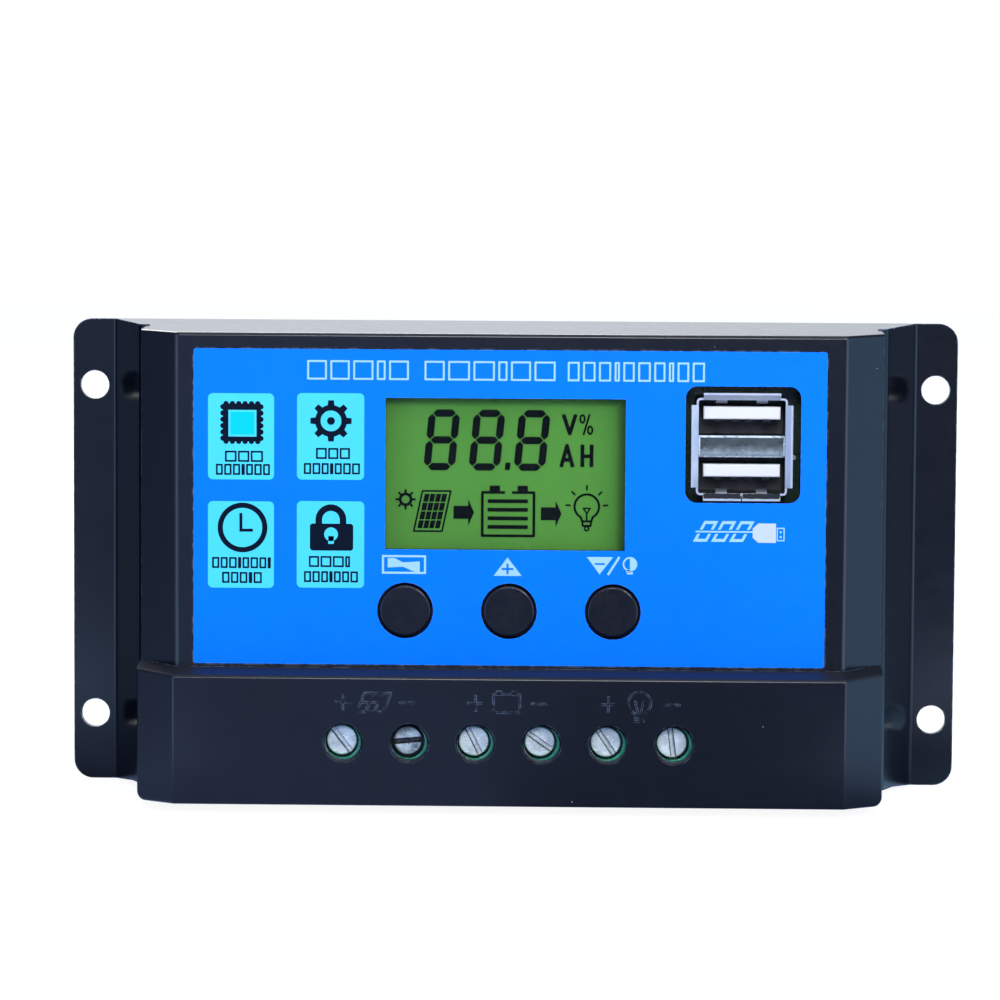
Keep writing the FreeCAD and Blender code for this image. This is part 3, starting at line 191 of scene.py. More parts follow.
def surface(name, colour, rough, metallic=0.0, patch=0.12, patch_scale=0.09, grain=3.0, grain_um=3.0,
            grain_rough=0.06, wear_and_glint=None, wear_and_glint_mm=0.12, wear_and_glint_share=0.5, dust=0.0, scratches=0.0,
            scratch_stretch=(0.2, 1.0, 6.0), fleck=0.0, specular=0.5, coat=0.0, coat_rough=0.1, glow=None,
            hollow_shade=None, depth_shade=None, matt_below=None, shaded_up=None, rim=(0.90, 0.995)):
    """A moulded, plated or coated surface: drifting colour, grain, scratches, scuffed edges with painted
    glints on them, and dust.

    hollow_shade is (reach in mm, open sky where unshaded, open sky where fully shaded, colour) of painted
    shade in corners;
    depth_shade is (near depth, far depth, colour) of painted shade into an opening;
    ledges lower than matt_below are rougher than the rest; shaded_up is the colour of painted shade on faces
    that look up;
    rim is how far a normal turns on a scuffed, glinting edge, from full effect to none.
    """
    mat = bpy.data.materials.new(name)
    mat.use_nodes = True
    tree = mat.node_tree
    tree.nodes.clear()
    where = millimetres(tree)
    broad = noise(tree, where, patch_scale, 4.0, 0.6)
    drift = ramp(tree, broad, 0.3, 0.7)
    tint = blend_colours(tree, drift, rgba(colour, 1.0 - patch), rgba(colour, 1.0 + patch))
    fine = noise(tree, where, grain, 3.0, 0.6)
    roughness = ramp(tree, fine, 0.25, 0.75, rough - grain_rough, rough + grain_rough)
    blotch = noise(tree, where, 0.35, 3.0, 0.6, 0.4)
    roughness = maths(tree, "ADD", roughness, ramp(tree, blotch, 0.3, 0.7, -grain_rough, grain_rough))
    height = fine
    if scratches:
        along = noise(tree, millimetres(tree, scratch_stretch), 1.4, 2.0, 0.4, 0.3)
        line = ramp(tree, along, 0.60, 0.66)
        line = maths(tree, "MULTIPLY", line, scratches)
        tint = blend_colours(tree, line, tint, rgba(colour, 1.7))
        roughness = maths(tree, "ADD", roughness, maths(tree, "MULTIPLY", line, 0.15))
        height = maths(tree, "SUBTRACT", height, line)
    # Painted shade: faces that look up take a darker colour.
    if shaded_up:
        tint = blend_colours(tree, upward(tree), tint, rgba(shaded_up))
    # Lighter edges: partly real wear, partly a painted glint where light would catch them.
    if wear_and_glint:
        edges = edge_mask(tree, wear_and_glint_mm, *rim)
        edge_breaks = ramp(tree, noise(tree, where, 0.8, 4.0, 0.65), 0.42, 0.62)
        wear_and_glint_mask = maths(tree, "MULTIPLY", edges, maths(tree, "MULTIPLY", edge_breaks, wear_and_glint_share))
        tint = blend_colours(tree, wear_and_glint_mask, tint, rgba(wear_and_glint))
        roughness = maths(tree, "SUBTRACT", roughness, maths(tree, "MULTIPLY", wear_and_glint_mask, 0.08))
    if dust:
        film = ramp(tree, noise(tree, where, 0.55, 5.0, 0.7), 0.35, 0.75)
        settled = maths(tree, "MULTIPLY", maths(tree, "MULTIPLY", upward(tree), film), dust)
        tint = blend_colours(tree, settled, tint, (0.42, 0.42, 0.43, 1.0))
        roughness = maths(tree, "ADD", roughness, maths(tree, "MULTIPLY", settled, 0.35))
    if fleck:
        dots = specks(tree, where, 0.55, 0.045, fleck)
        tint = blend_colours(tree, dots, tint, (0.40, 0.42, 0.46, 1.0))
    if matt_below is not None:
        height_z = node(tree, "ShaderNodeSeparateXYZ", {0: where}).outputs["Z"]
        ledge = maths(tree, "MULTIPLY", upward(tree), maths(tree, "LESS_THAN", height_z, matt_below))
        roughness = maths(tree, "ADD", roughness, maths(tree, "MULTIPLY", ledge, 0.4))
    # Painted shade in hollows: darker where little open sky is near, as in slots and round screw heads.
    if hollow_shade:
        reach, unshaded_sky, shaded_sky, shade_colour = hollow_shade
        open_sky = node(tree, "ShaderNodeAmbientOcclusion", {"Distance": reach * MM}, samples=6).outputs["AO"]
        tint = blend_colours(tree, ramp(tree, open_sky, unshaded_sky, shaded_sky), tint, rgba(shade_colour))
    # Painted shade: darker the deeper the face lies in an opening.
    if depth_shade:
        near, far, deep_shade = depth_shade
        depth = node(tree, "ShaderNodeSeparateXYZ", {0: where}).outputs["Y"]
        tint = blend_colours(tree, ramp(tree, depth, -near, -far), tint, rgba(deep_shade))
    bump = node(tree, "ShaderNodeBump", {"Height": height, "Strength": 0.6, "Distance": grain_um * 1e-6})
    inputs = {"Base Color": tint, "Roughness": roughness, "Metallic": metallic, "Normal": bump.outputs[0],
              "Specular IOR Level": specular, "Coat Weight": coat, "Coat Roughness": coat_rough}
    if glow:
        inputs.update({"Emission Color": rgba(glow), "Emission Strength": 1.0})
    shader = node(tree, "ShaderNodeBsdfPrincipled", inputs)
    node(tree, "ShaderNodeOutputMaterial", {"Surface": shader.outputs[0]})
    return mat


def clear(name, tint, rough, smudge):
    """A clear pane: light goes straight through, and a little is mirrored, more of it at a slant."""
    mat = bpy.data.materials.new(name)
    mat.use_nodes = True
    tree = mat.node_tree
    tree.nodes.clear()
    where = millimetres(tree)
    haze = ramp(tree, noise(tree, where, 0.22, 4.0, 0.6, 0.5), 0.45, 0.8, 0.0, smudge)
    through = node(tree, "ShaderNodeBsdfTransparent", {"Color": rgba(tint)})
    roughness = ramp(tree, noise(tree, where, 1.3, 3.0), 0.3, 0.7, rough, rough + 0.05)
    mirror = node(tree, "ShaderNodeBsdfGlossy", {"Color": (1, 1, 1, 1), "Roughness": roughness})
    dull = node(tree, "ShaderNodeBsdfDiffuse", {"Color": (0.55, 0.58, 0.6, 1.0)})
    slant = node(tree, "ShaderNodeLayerWeight", {"Blend": 0.5}).outputs["Facing"]
    share = maths(tree, "ADD", maths(tree, "MULTIPLY", maths(tree, "POWER", slant, 5.0), 0.25), 0.004)
    glass = node(tree, "ShaderNodeMixShader", {0: share, 1: through.outputs[0], 2: mirror.outputs[0]})
    dusty = node(tree, "ShaderNodeMixShader", {0: haze, 1: glass.outputs[0], 2: dull.outputs[0]})
    node(tree, "ShaderNodeOutputMaterial", {"Surface": dusty.outputs[0]})
    return mat


def laminate(name):
    """Green solder mask with tracks showing through it and bare pads."""
    mat = surface(name, (0.006, 0.048, 0.018), 0.32, patch=0.15, grain=2.0, grain_um=4.0, coat=0.3)
    tree = mat.node_tree
    shader = principled(tree)
    base = shader.inputs["Base Color"].links[0].from_socket
    where = millimetres(tree, (1.0, 0.0, 1.0))
    cells = node(tree, "ShaderNodeTexVoronoi", {"Vector": where, "Scale": 0.22, "Randomness": 0.55},
                 feature="DISTANCE_TO_EDGE", distance="EUCLIDEAN")
    gap = maths(tree, "LESS_THAN", cells.outputs["Distance"], 0.035)
    copper = blend_colours(tree, gap, (0.012, 0.090, 0.028, 1.0), (0.004, 0.030, 0.012, 1.0))
    tint = blend_colours(tree, 0.6, base, copper)
    pads = specks(tree, where, 0.3, 0.13, 0.45)
    plug(tree, shader.inputs["Base Color"], blend_colours(tree, pads, tint, (0.72, 0.72, 0.70, 1.0)))
    plug(tree, shader.inputs["Metallic"], pads)
    return mat


def divider_metal():
    """Tinned sheet between the sockets: dull at its top, brighter lower down, with a painted highlight along
    its edges and painted shade deeper in.
    """
    mat = surface("usb_divider_metal", (0.060, 0.075, 0.072), 0.34, 0.5, grain=1.8, grain_um=5.0,
                  scratches=0.4, scratch_stretch=(0.4, 3.0, 3.0), wear_and_glint=(0.95, 1.0, 1.0),
                  wear_and_glint_mm=0.18, wear_and_glint_share=1.0)
    tree = mat.node_tree
    shader = principled(tree)
    base = shader.inputs["Base Color"].links[0].from_socket
    where = millimetres(tree)
    split = node(tree, "ShaderNodeSeparateXYZ", {0: where}).outputs
    cloudy = maths(tree, "ADD", split["Z"], maths(tree, "MULTIPLY", noise(tree, where, 1.1, 3.0), 1.4))
    lit = blend_colours(tree, ramp(tree, cloudy, 19.0, 16.6), base, (0.45, 0.50, 0.50, 1.0))
    aside = maths(tree, "ABSOLUTE", maths(tree, "SUBTRACT", split["X"], USB_X))
    # Painted highlight along the top, the foot and the ends, broken up by noise.
    top = ramp(tree, split["Z"], DIVIDER_TOP - DIVIDER_HIGHLIGHT_W, DIVIDER_TOP)
    ends = ramp(tree, aside, DIVIDER_HALF_W - DIVIDER_SIDE_HIGHLIGHT_W, DIVIDER_HALF_W)
    foot = ramp(tree, split["Z"], DIVIDER_BOTTOM + DIVIDER_HIGHLIGHT_W, DIVIDER_BOTTOM)
    border_highlight = maths(tree, "MAXIMUM", top, ends)
    border_highlight = maths(tree, "MAXIMUM", border_highlight, foot)
    highlight_breaks = ramp(tree, noise(tree, where, 1.6, 3.0), 0.35, 0.55, 0.35, 1.0)
    lit = blend_colours(tree, maths(tree, "MULTIPLY", border_highlight, highlight_breaks), lit, (0.90, 0.95, 0.95, 1.0))
    # Painted shade: darker deeper in the socket.
    deep_shade = blend_colours(tree, ramp(tree, split["Y"], -27.4, -26.4), lit, (0.02, 0.022, 0.026, 1.0))
    plug(tree, shader.inputs["Base Color"], deep_shade)
    return mat


def reflector():
    """The green back of the display, with the shade of its opening along the top and the right."""
    # The faint glow stands for the backlight and also lightens the display as painted light.
    mat = surface("lcd_reflector", (0.100, 0.290, 0.038), 0.5, grain=9.0, grain_um=2.0, patch=0.04,
                  patch_scale=0.05, specular=0.1, glow=(0.006, 0.020, 0.003))
    tree = mat.node_tree
    shader = principled(tree)
    base = shader.inputs["Base Color"].links[0].from_socket
    split = node(tree, "ShaderNodeSeparateXYZ", {0: millimetres(tree)}).outputs
    right = ramp(tree, split["X"], WINDOW_RIGHT - SHADE_W, WINDOW_RIGHT)
    top = ramp(tree, split["Z"], WINDOW_TOP - SHADE_W, WINDOW_TOP)
    shade = maths(tree, "MULTIPLY", maths(tree, "MAXIMUM", right, top), 0.85)
    plug(tree, shader.inputs["Base Color"], blend_colours(tree, shade, base, (0.012, 0.050, 0.010, 1.0)))
    return mat


# ---------------------------------------------------------------- finishes
BLACK_PLASTIC = (0.0022, 0.0030, 0.0060)
BLACK_COATING = (0.0024, 0.0032, 0.0062)
LABEL_BLUE = (0.0, 0.198, 0.96)
TILE_CYAN = (0.080, 0.68, 0.80)
INK_NAVY = (0.0012, 0.0050, 0.0150)
INK_LIGHT = (0.40, 0.66, 0.80)
INK_PALE = (0.62, 0.66, 0.74)

# The lighter edges in these finishes are partly wear and partly painted glints; darkening in corners, deep in
# openings and on upward faces is painted shade.
FINISHES = {
    "chassis_coating": surface("chassis_coating", BLACK_COATING, 0.20, grain=5.0, grain_um=2.5, patch=0.10,
                               grain_rough=0.015, wear_and_glint=(0.22, 0.27, 0.34), wear_and_glint_mm=0.30, wear_and_glint_share=0.8,
                               rim=(0.93, 0.999), fleck=0.02, specular=0.40),
    "cover_plastic": surface("cover_plastic", BLACK_PLASTIC, 0.20, grain=4.0, grain_um=1.2, patch=0.15,
                             grain_rough=0.012, wear_and_glint=(0.16, 0.20, 0.26), wear_and_glint_mm=0.20, wear_and_glint_share=0.7,
                             rim=(0.92, 0.998), fleck=0.05, matt_below=-10.0),
    "label_film": surface("label_film", LABEL_BLUE, 0.36, grain=6.0, grain_um=1.5, patch=0.025,
                          patch_scale=0.03, specular=0.08, wear_and_glint=(0.30, 0.60, 1.0), wear_and_glint_mm=0.12,
                          wear_and_glint_share=0.5),
    "clear_window": clear("clear_window", (0.985, 0.99, 0.98), 0.05, 0.004),
    "lcd_glass": clear("lcd_glass", (0.98, 0.99, 0.97), 0.04, 0.002),
    "lcd_reflector": reflector(),
    "light_guide": surface("light_guide", (0.78, 0.80, 0.78), 0.35, grain=1.5, grain_um=4.0, patch=0.05),
    "lcd_ink": surface("lcd_ink", (0.0012, 0.0025, 0.0012), 0.5, grain=5.0, grain_um=1.0, specular=0.02),
    "tinned_metal": surface("tinned_metal", (0.72, 0.72, 0.70), 0.34, 1.0, grain=2.4, grain_um=8.0,
                            scratches=0.4, wear_and_glint=(0.85, 0.85, 0.84), wear_and_glint_share=0.6),
    "board_laminate": laminate("board_laminate"),
    "brass": surface("brass", (0.78, 0.56, 0.22), 0.30, 1.0, grain=2.0, grain_um=5.0, scratches=0.3,
                     wear_and_glint=(0.92, 0.76, 0.42)),
    "zinc_screw": surface("zinc_screw", (0.80, 0.86, 0.86), 0.42, 0.6, patch=0.22, patch_scale=0.45,
                          grain=2.6, grain_um=30.0, grain_rough=0.10, scratches=1.0,
                          scratch_stretch=(1.0, 0.4, 5.0), wear_and_glint=(1.0, 1.0, 1.0), wear_and_glint_mm=0.16, wear_and_glint_share=1.0,
                          hollow_shade=(0.40, 0.88, 0.62, (0.006, 0.012, 0.016))),
    "zinc_screw_worn": surface("zinc_screw_worn", (0.42, 0.48, 0.49), 0.36, 0.7, patch=0.85, patch_scale=0.35,
                               grain=2.0, grain_um=60.0, grain_rough=0.15, scratches=1.0,
                               scratch_stretch=(1.5, 0.4, 2.5), wear_and_glint=(1.0, 1.0, 1.0), wear_and_glint_mm=0.16,
                               wear_and_glint_share=1.0, hollow_shade=(1.10, 0.95, 0.60, (0.004, 0.007, 0.010))),
    "black_screw": surface("black_screw", (0.035, 0.036, 0.040), 0.38, 0.6, grain=2.4, grain_um=8.0,
                           scratches=0.4, wear_and_glint=(0.30, 0.30, 0.31), wear_and_glint_share=0.9),
    "chip_resin": surface("chip_resin", (0.018, 0.018, 0.020), 0.55, grain=6.0, grain_um=10.0, dust=0.05,
                          wear_and_glint=(0.08, 0.08, 0.085)),
    "silicone_pad": surface("silicone_pad", (0.42, 0.46, 0.50), 0.7, grain=3.0, grain_um=12.0, patch=0.1),
    "button_plastic": surface("button_plastic", (0.0012, 0.0018, 0.0058), 0.26, grain=5.0, grain_um=5.0,
                              grain_rough=0.03, wear_and_glint=(0.16, 0.19, 0.25), wear_and_glint_mm=0.12, wear_and_glint_share=0.9,
                              specular=0.4),
    "switch_plastic": surface("switch_plastic", (0.02, 0.02, 0.022), 0.45, grain=4.0, grain_um=5.0,
                              wear_and_glint=(0.08, 0.08, 0.085)),
    "terminal_green": surface("terminal_green", (0.040, 0.50, 0.30), 0.20, grain=3.0, grain_um=5.0,
                              patch=0.15, wear_and_glint=(0.45, 0.85, 0.68), wear_and_glint_mm=0.25, wear_and_glint_share=1.0,
                              hollow_shade=(1.2, 0.62, 0.30, (0.004, 0.022, 0.016))),
    "usb_plating": surface("usb_plating", (0.84, 0.86, 0.88), 0.24, 0.70, patch=0.08, grain=0.9, grain_um=1.0,
                           grain_rough=0.02, wear_and_glint=(1.0, 1.0, 1.0), wear_and_glint_mm=0.20, wear_and_glint_share=1.0,
                           rim=(0.93, 0.998), shaded_up=(0.020, 0.022, 0.027),
                           depth_shade=(28.1, 27.0, (0.030, 0.032, 0.038))),
    "usb_divider_metal": divider_metal(),
    "usb_spring_metal": surface("usb_spring_metal", (0.34, 0.36, 0.38), 0.35, 0.7, grain=1.8, grain_um=5.0,
                                scratches=0.3, wear_and_glint=(0.6, 0.62, 0.64), wear_and_glint_share=0.7),
    # Near-black: painted shade over the contact bends, which sit in shadow under the tongues.
    "contact_bend": surface("contact_bend", (0.004, 0.004, 0.005), 0.45, 0.2, grain=1.8, grain_um=4.0,
                            wear_and_glint=(0.03, 0.028, 0.02), wear_and_glint_share=0.6),
    "usb_white": surface("usb_white", (0.82, 0.755, 0.655), 0.42, grain=4.0, grain_um=4.0, patch=0.03,
                         wear_and_glint=(0.98, 0.96, 0.90), depth_shade=(26.9, 25.2, (0.020, 0.021, 0.024))),
    "gold_contact": surface("gold_contact", (0.83, 0.64, 0.30), 0.25, 1.0, grain=2.0, grain_um=3.0,
                            scratches=0.3, wear_and_glint=(0.93, 0.80, 0.5)),
    "capacitor_sleeve": surface("capacitor_sleeve", (0.012, 0.016, 0.045), 0.30, grain=2.0, grain_um=6.0,
                                wear_and_glint=(0.10, 0.11, 0.16)),
    "ferrite": surface("ferrite", (0.055, 0.055, 0.058), 0.6, grain=3.0, grain_um=20.0, patch=0.25,
                       wear_and_glint=(0.16, 0.16, 0.165)),
}
LABEL_INKS = {
    "tile": surface("ink_cyan", TILE_CYAN, 0.36, grain=6.0, grain_um=1.5, patch=0.02, specular=0.08),
    "navy": surface("ink_navy", INK_NAVY, 0.36, grain=6.0, grain_um=1.5, patch=0.1, specular=0.08),
    "light": surface("ink_light", INK_LIGHT, 0.36, grain=6.0, grain_um=1.5, patch=0.03, specular=0.08),
    "pale": surface("ink_pale", INK_PALE, 0.36, grain=6.0, grain_um=1.5, patch=0.03, specular=0.08),
    "blue": surface("ink_blue", LABEL_BLUE, 0.36, grain=6.0, grain_um=1.5, patch=0.02, specular=0.08),
    "chip": surface("ink_bright_cyan", (0.0, 0.62, 0.90), 0.36, grain=6.0, grain_um=1.5, patch=0.02,
                    specular=0.08),
}


def finish_nodes():
    """Every carried-over CAD node takes the finish of its material slot."""
    for obj in NODES.values():
        for at, held in enumerate(obj.data.materials):
            slot = held.name.split(".")[0]
            obj.data.materials[at] = FINISHES[slot]
    NODES["usb_divider"].data.materials[0] = FINISHES["usb_divider_metal"]
    NODES["terminal_screw_2"].data.materials[0] = FINISHES["zinc_screw_worn"]


# ---------------------------------------------------------------- print on the label
def add_piece(name, mesh, material):
    """Turns a bmesh into a piece that rides on the case."""
    bmesh.ops.recalc_face_normals(mesh, faces=mesh.faces)
    data = bpy.data.meshes.new(name)
    mesh.to_mesh(data)
    mesh.free()
    data.materials.append(material)
    piece = bpy.data.objects.new(name, data)
    bpy.context.scene.collection.objects.link(piece)
    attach(piece, "case")


def print_layer(mesh, outline, level, inner=None):
    """A closed film of ink: outline in mm as (x, z), with an inner outline of the same length for a ring."""
    back = -(FILM_D + LAYER * level - INK_SINK) * MM
    front = -(FILM_D + LAYER * (level + 1)) * MM
    loops = []
    for path in [outline] + ([inner] if inner else []):
        loops.append([[mesh.verts.new((x * MM, y, z * MM)) for x, z in path] for y in (back, front)])
    count = len(outline)
    for rear, face in loops:
        for i in range(count):
            j = (i + 1) % count
            mesh.faces.new((rear[i], rear[j], face[j], face[i]))
    if inner:
        for side in (0, 1):
            outer_loop, inner_loop = loops[0][side], loops[1][side]
            for i in range(count):
                j = (i + 1) % count
                mesh.faces.new((outer_loop[i], outer_loop[j], inner_loop[j], inner_loop[i]))
    else:
        mesh.faces.new(loops[0][0])
        mesh.faces.new(loops[0][1])


def printed(name, ink, level, shapes):
    """One piece of the label's print from closed shapes, each an outline or (outline, inner outline)."""
    mesh = bmesh.new()
    for shape in shapes:
        if isinstance(shape, tuple):
            print_layer(mesh, shape[0], level, shape[1])
        else:
            print_layer(mesh, shape, level)
    add_piece(name, mesh, LABEL_INKS[ink])


def circle(x, z, r, steps=48):
    turn = 2.0 * math.pi / steps
    return [(x + r * math.cos(turn * i), z + r * math.sin(turn * i)) for i in range(steps)]


def rounded(x0, z0, x1, z1, r, steps=6):
    """A rectangle with round corners."""
    path = []
    centres = ((x1 - r, z1 - r, 0), (x0 + r, z1 - r, 90), (x0 + r, z0 + r, 180), (x1 - r, z0 + r, 270))
    for cx, cz, start in centres:
        for i in range(steps + 1):
            a = math.radians(start + 90.0 * i / steps)
            path.append((cx + r * math.cos(a), cz + r * math.sin(a)))
    return path


def rectangle(x0, z0, x1, z1):
    return [(x0, z0), (x1, z0), (x1, z1), (x0, z1)]


def frame_shape(x0, z0, x1, z1, line):
    """A rectangular outline of the given line width."""
    return rectangle(x0, z0, x1, z1), rectangle(x0 + line, z0 + line, x1 - line, z1 - line)


def bar(x0, z0, x1, z1, width):
    """A straight line of the given width from one point to another."""
    run = Vector((x1 - x0, z1 - z0)).normalized()
    side = Vector((-run.y, run.x)) * width / 2.0
    near = [(x0 + side.x, z0 + side.y), (x1 + side.x, z1 + side.y)]
    return near + [(x1 - side.x, z1 - side.y), (x0 - side.x, z0 - side.y)]


def word_blocks(x0, z0, x1, z1, count, gap, line):
    """A word shown as a row of plain boxes of the given line width, every fourth one a narrow bar."""
    shares = [NARROW_SHARE if i % 4 == 3 else random.uniform(0.95, 1.1) for i in range(count)]
    unit = (x1 - x0 - gap * (count - 1)) / sum(shares)
    shapes, x = [], x0
    for share in shares:
        width = unit * share
        box = rounded(x, z0, x + width, z1, 0.1, 3)
        if width > 2.6 * line:
            shapes.append((box, rounded(x + line, z0 + line, x + width - line, z1 - line, 0.04, 3)))
        else:
            shapes.append(box)
        x += width + gap
    return shapes


def stamp_outline(x0, z0, x1, z1, bumps):
    """A square with a scalloped edge, as a chip's legs are drawn."""
    corners = [(x0, z0), (x1, z0), (x1, z1), (x0, z1)]
    path = []
    for i in range(4):
        a, b = Vector(corners[i]), Vector(corners[(i + 1) % 4])
        run = (b - a) / bumps
        out = Vector((run.y, -run.x)).normalized()
        for k in range(bumps):
            centre = a + run * (k + 0.5)
            for s in range(7):
                turn = math.pi * s / 6.0
                point = centre - run * 0.42 * math.cos(turn) + out * run.length * 0.42 * math.sin(turn)
                path.append((point.x, point.y))
    return path


def gear_outline(x, z, teeth, tip, root, width):
    """Outer edge of a gear."""
    path = []
    for k in range(teeth):
        middle = 2.0 * math.pi * k / teeth + math.pi / 2.0
        half_root = math.asin(width / 2.0 / root)
        half_tip = math.asin(width * 0.42 / tip)
        next_root = 2.0 * math.pi / teeth - half_root
        for r, a in ((root, -half_root), (tip, -half_tip), (tip, half_tip), (root, half_root)):
            path.append((x + r * math.cos(middle + a), z + r * math.sin(middle + a)))
        for s in (1, 2, 3):
            a = half_root + (next_root - half_root) * s / 4.0
            path.append((x + root * math.cos(middle + a), z + root * math.sin(middle + a)))
    return path


def circle_like(path, x, z, r):
    """A circle whose points lie at the same angles as those of path."""
    angles = [math.atan2(pz - z, px - x) for px, pz in path]
    return [(x + r * math.cos(a), z + r * math.sin(a)) for a in angles]


def shackle(x0, x1, z0, z1, line):
    """The bow of a padlock as a closed outline."""
    middle, r = (x0 + x1) / 2.0, (x1 - x0) / 2.0
    bows = []
    for radius in (r, r - line):
        turns = [math.pi * i / 16 for i in range(17)]
        bows.append([(middle + radius * math.cos(a), z1 - r + radius * math.sin(a)) for a in turns])
    outer, inner = bows
    return [(x1, z0)] + outer + [(x0, z0), (x0 + line, z0)] + inner[::-1] + [(x1 - line, z0)]


def label_print():
    """Four captioned tiles with their icons, and the heading."""
    tiles = [(-43.7, 12.7, -34.15, 25.15), (-30.85, 12.75, -21.15, 25.25),
             (-43.7, -3.0, -34.15, 9.55), (-30.85, -2.9, -21.1, 9.65)]
    printed("label_tiles", "tile", 0, [rounded(*t, 0.7) for t in tiles])

    stamp = stamp_outline(-41.55, 18.2, -36.05, 23.65, 6)
    printed("label_chip_icon", "navy", 1, [stamp])
    printed("label_chip_window", "tile", 2, [rectangle(-40.75, 18.9, -36.7, 22.75)])
    printed("label_chip_centre", "chip", 3, [rectangle(-40.45, 19.2, -37.0, 22.45)])

    gear = gear_outline(-25.95, 21.25, 8, 3.0, 2.3, 0.97)
    wheel = (gear, circle_like(gear, -25.95, 21.25, 1.5))
    printed("label_gear_icon", "navy", 1, [wheel, circle(-25.95, 21.25, 0.57)])

    clock = [(circle(-38.7, 5.75, 3.6, 64), circle(-38.7, 5.75, 2.85, 64)),
             [(-39.15, 5.15), (-37.2, 5.15), (-37.2, 5.58), (-38.72, 5.58), (-38.72, 7.85), (-39.15, 7.85)]]
    printed("label_clock_icon", "navy", 1, clock)

    lock = [rounded(-28.95, 2.5, -22.7, 6.4, 0.4), shackle(-28.15, -23.7, 6.35, 9.2, 0.95)]
    printed("label_padlock_icon", "navy", 1, lock)
    key = [circle(-25.9, 4.86, 1.0, 32), rectangle(-26.3, 3.47, -25.5, 4.6)]
    printed("label_padlock_keyhole", "tile", 2, key)

    captions = [(-41.25, 15.25, -35.75, 16.85, 3), (-42.55, 13.35, -34.75, 14.95, 7),
                (-28.1, 15.75, -23.2, 17.35, 3), (-29.85, 13.55, -21.75, 15.15, 7),
                (-43.1, -0.15, -34.6, 1.45, 8), (-41.65, -2.3, -35.9, -0.7, 5),
                (-29.1, 0.1, -23.15, 1.7, 4), (-29.8, -2.1, -22.0, -0.5, 7)]
    blocks = []
    for x0, z0, x1, z1, count in captions:
        blocks += word_blocks(x0, z0, x1, z1, count, CAPTION_GAP, CAPTION_LINE)
    printed("label_caption_blocks", "navy", 1, blocks)

    heading = [(-29.4, -14.75, 5), (-12.5, 6.35, 6), (8.1, 27.8, 10)]
    blocks = []
    for x0, x1, count in heading:
        blocks += word_blocks(x0, HEADING_Z[0], x1, HEADING_Z[1], count, HEADING_GAP, HEADING_LINE)
    printed("label_heading_blocks", "light", 0, blocks)


def button_symbols():
    """A meter window over the first button, plus, minus and lamp over the others."""
    meter = [frame_shape(-18.53, -0.79, -12.16, 1.92, 0.3),
             [(-17.7, 1.5), (-16.7, 1.5), (-15.5, 0.86), (-13.06, 1.03), (-13.06, -0.49), (-13.8, -0.49),
              (-15.5, 0.24), (-17.7, 0.12)]]
    up = [[(-2.38, -0.97), (1.66, -0.97), (-0.39, 1.7)]]
    down = [[(11.04, 1.86), (12.9, -0.65), (14.85, 1.86)], bar(14.1, -0.72, 15.75, 1.9, 0.33)]
    arc = [math.radians(a) for a in range(-90, 91, 10)]
    bulb_x, bulb_z, r = 17.27, 0.85, 1.05
    left = [(bulb_x - r * math.cos(a), bulb_z + r * math.sin(a)) for a in arc]
    inner = [(bulb_x - (r - 0.24) * math.cos(a), bulb_z + (r - 0.24) * math.sin(a)) for a in arc]
    right = [(bulb_x + r * math.cos(a), bulb_z + r * math.sin(a)) for a in arc]
    bulb = [left + inner[::-1], right, rectangle(16.85, -0.62, 17.7, -0.3)]
    bulb.append(frame_shape(16.75, -0.35, 17.3, 0.0, 0.12))
    printed("label_button_symbols", "light", 0, meter + up + down + bulb)
    plus = [rectangle(-1.24, -0.12, 0.46, 0.18), rectangle(-0.54, -0.72, -0.24, 0.78)]
    minus = [rectangle(12.2, 0.72, 13.65, 0.98)]
    printed("label_button_signs", "blue", 1, plus[:1] + minus)
    printed("label_button_sign_upright", "blue", 2, plus[1:])


def socket_mark():
    """A plain cable and plug under the USB sockets, with three leaning boxes cut by the cable."""
    lean, line = 0.55, 0.42
    blocks = []
    for x0, x1 in ((27.1, 29.1), (29.7, 31.7), (32.3, 34.3)):
        for z0, z1 in ((4.2, 5.35), (5.95, 7.2)):
            shift = (z0 - CABLE_Z) * lean, (z1 - CABLE_Z) * lean
            closed_end = z0 if z0 < CABLE_Z else z1 - line
            for a, b in ((x0, x0 + line), (x1 - line, x1)):
                low_side = [(a + shift[0], z0), (b + shift[0], z0)]
                blocks.append(low_side + [(b + shift[1], z1), (a + shift[1], z1)])
            low, high = (closed_end - CABLE_Z) * lean, (closed_end + line - CABLE_Z) * lean
            blocks.append([(x0 + line + low, closed_end), (x1 - line + low, closed_end),
                           (x1 - line + high, closed_end + line), (x0 + line + high, closed_end + line)])
    cable = [rectangle(26.7, 5.54, 35.0, 5.77)]
    body = [[(34.9, 4.85), (35.7, 4.1), (38.25, 4.1), (38.25, 6.9), (35.7, 6.9), (34.9, 6.15)]]
    tip = [frame_shape(38.35, 4.35, 39.5, 6.3, 0.17)]
    holes = [rectangle(38.8, 4.8, 39.05, 5.1), rectangle(38.8, 5.5, 39.05, 5.8)]
    printed("label_socket_mark", "light", 0, blocks + cable + tip + holes)
    printed("label_plug_mark", "pale", 1, body)


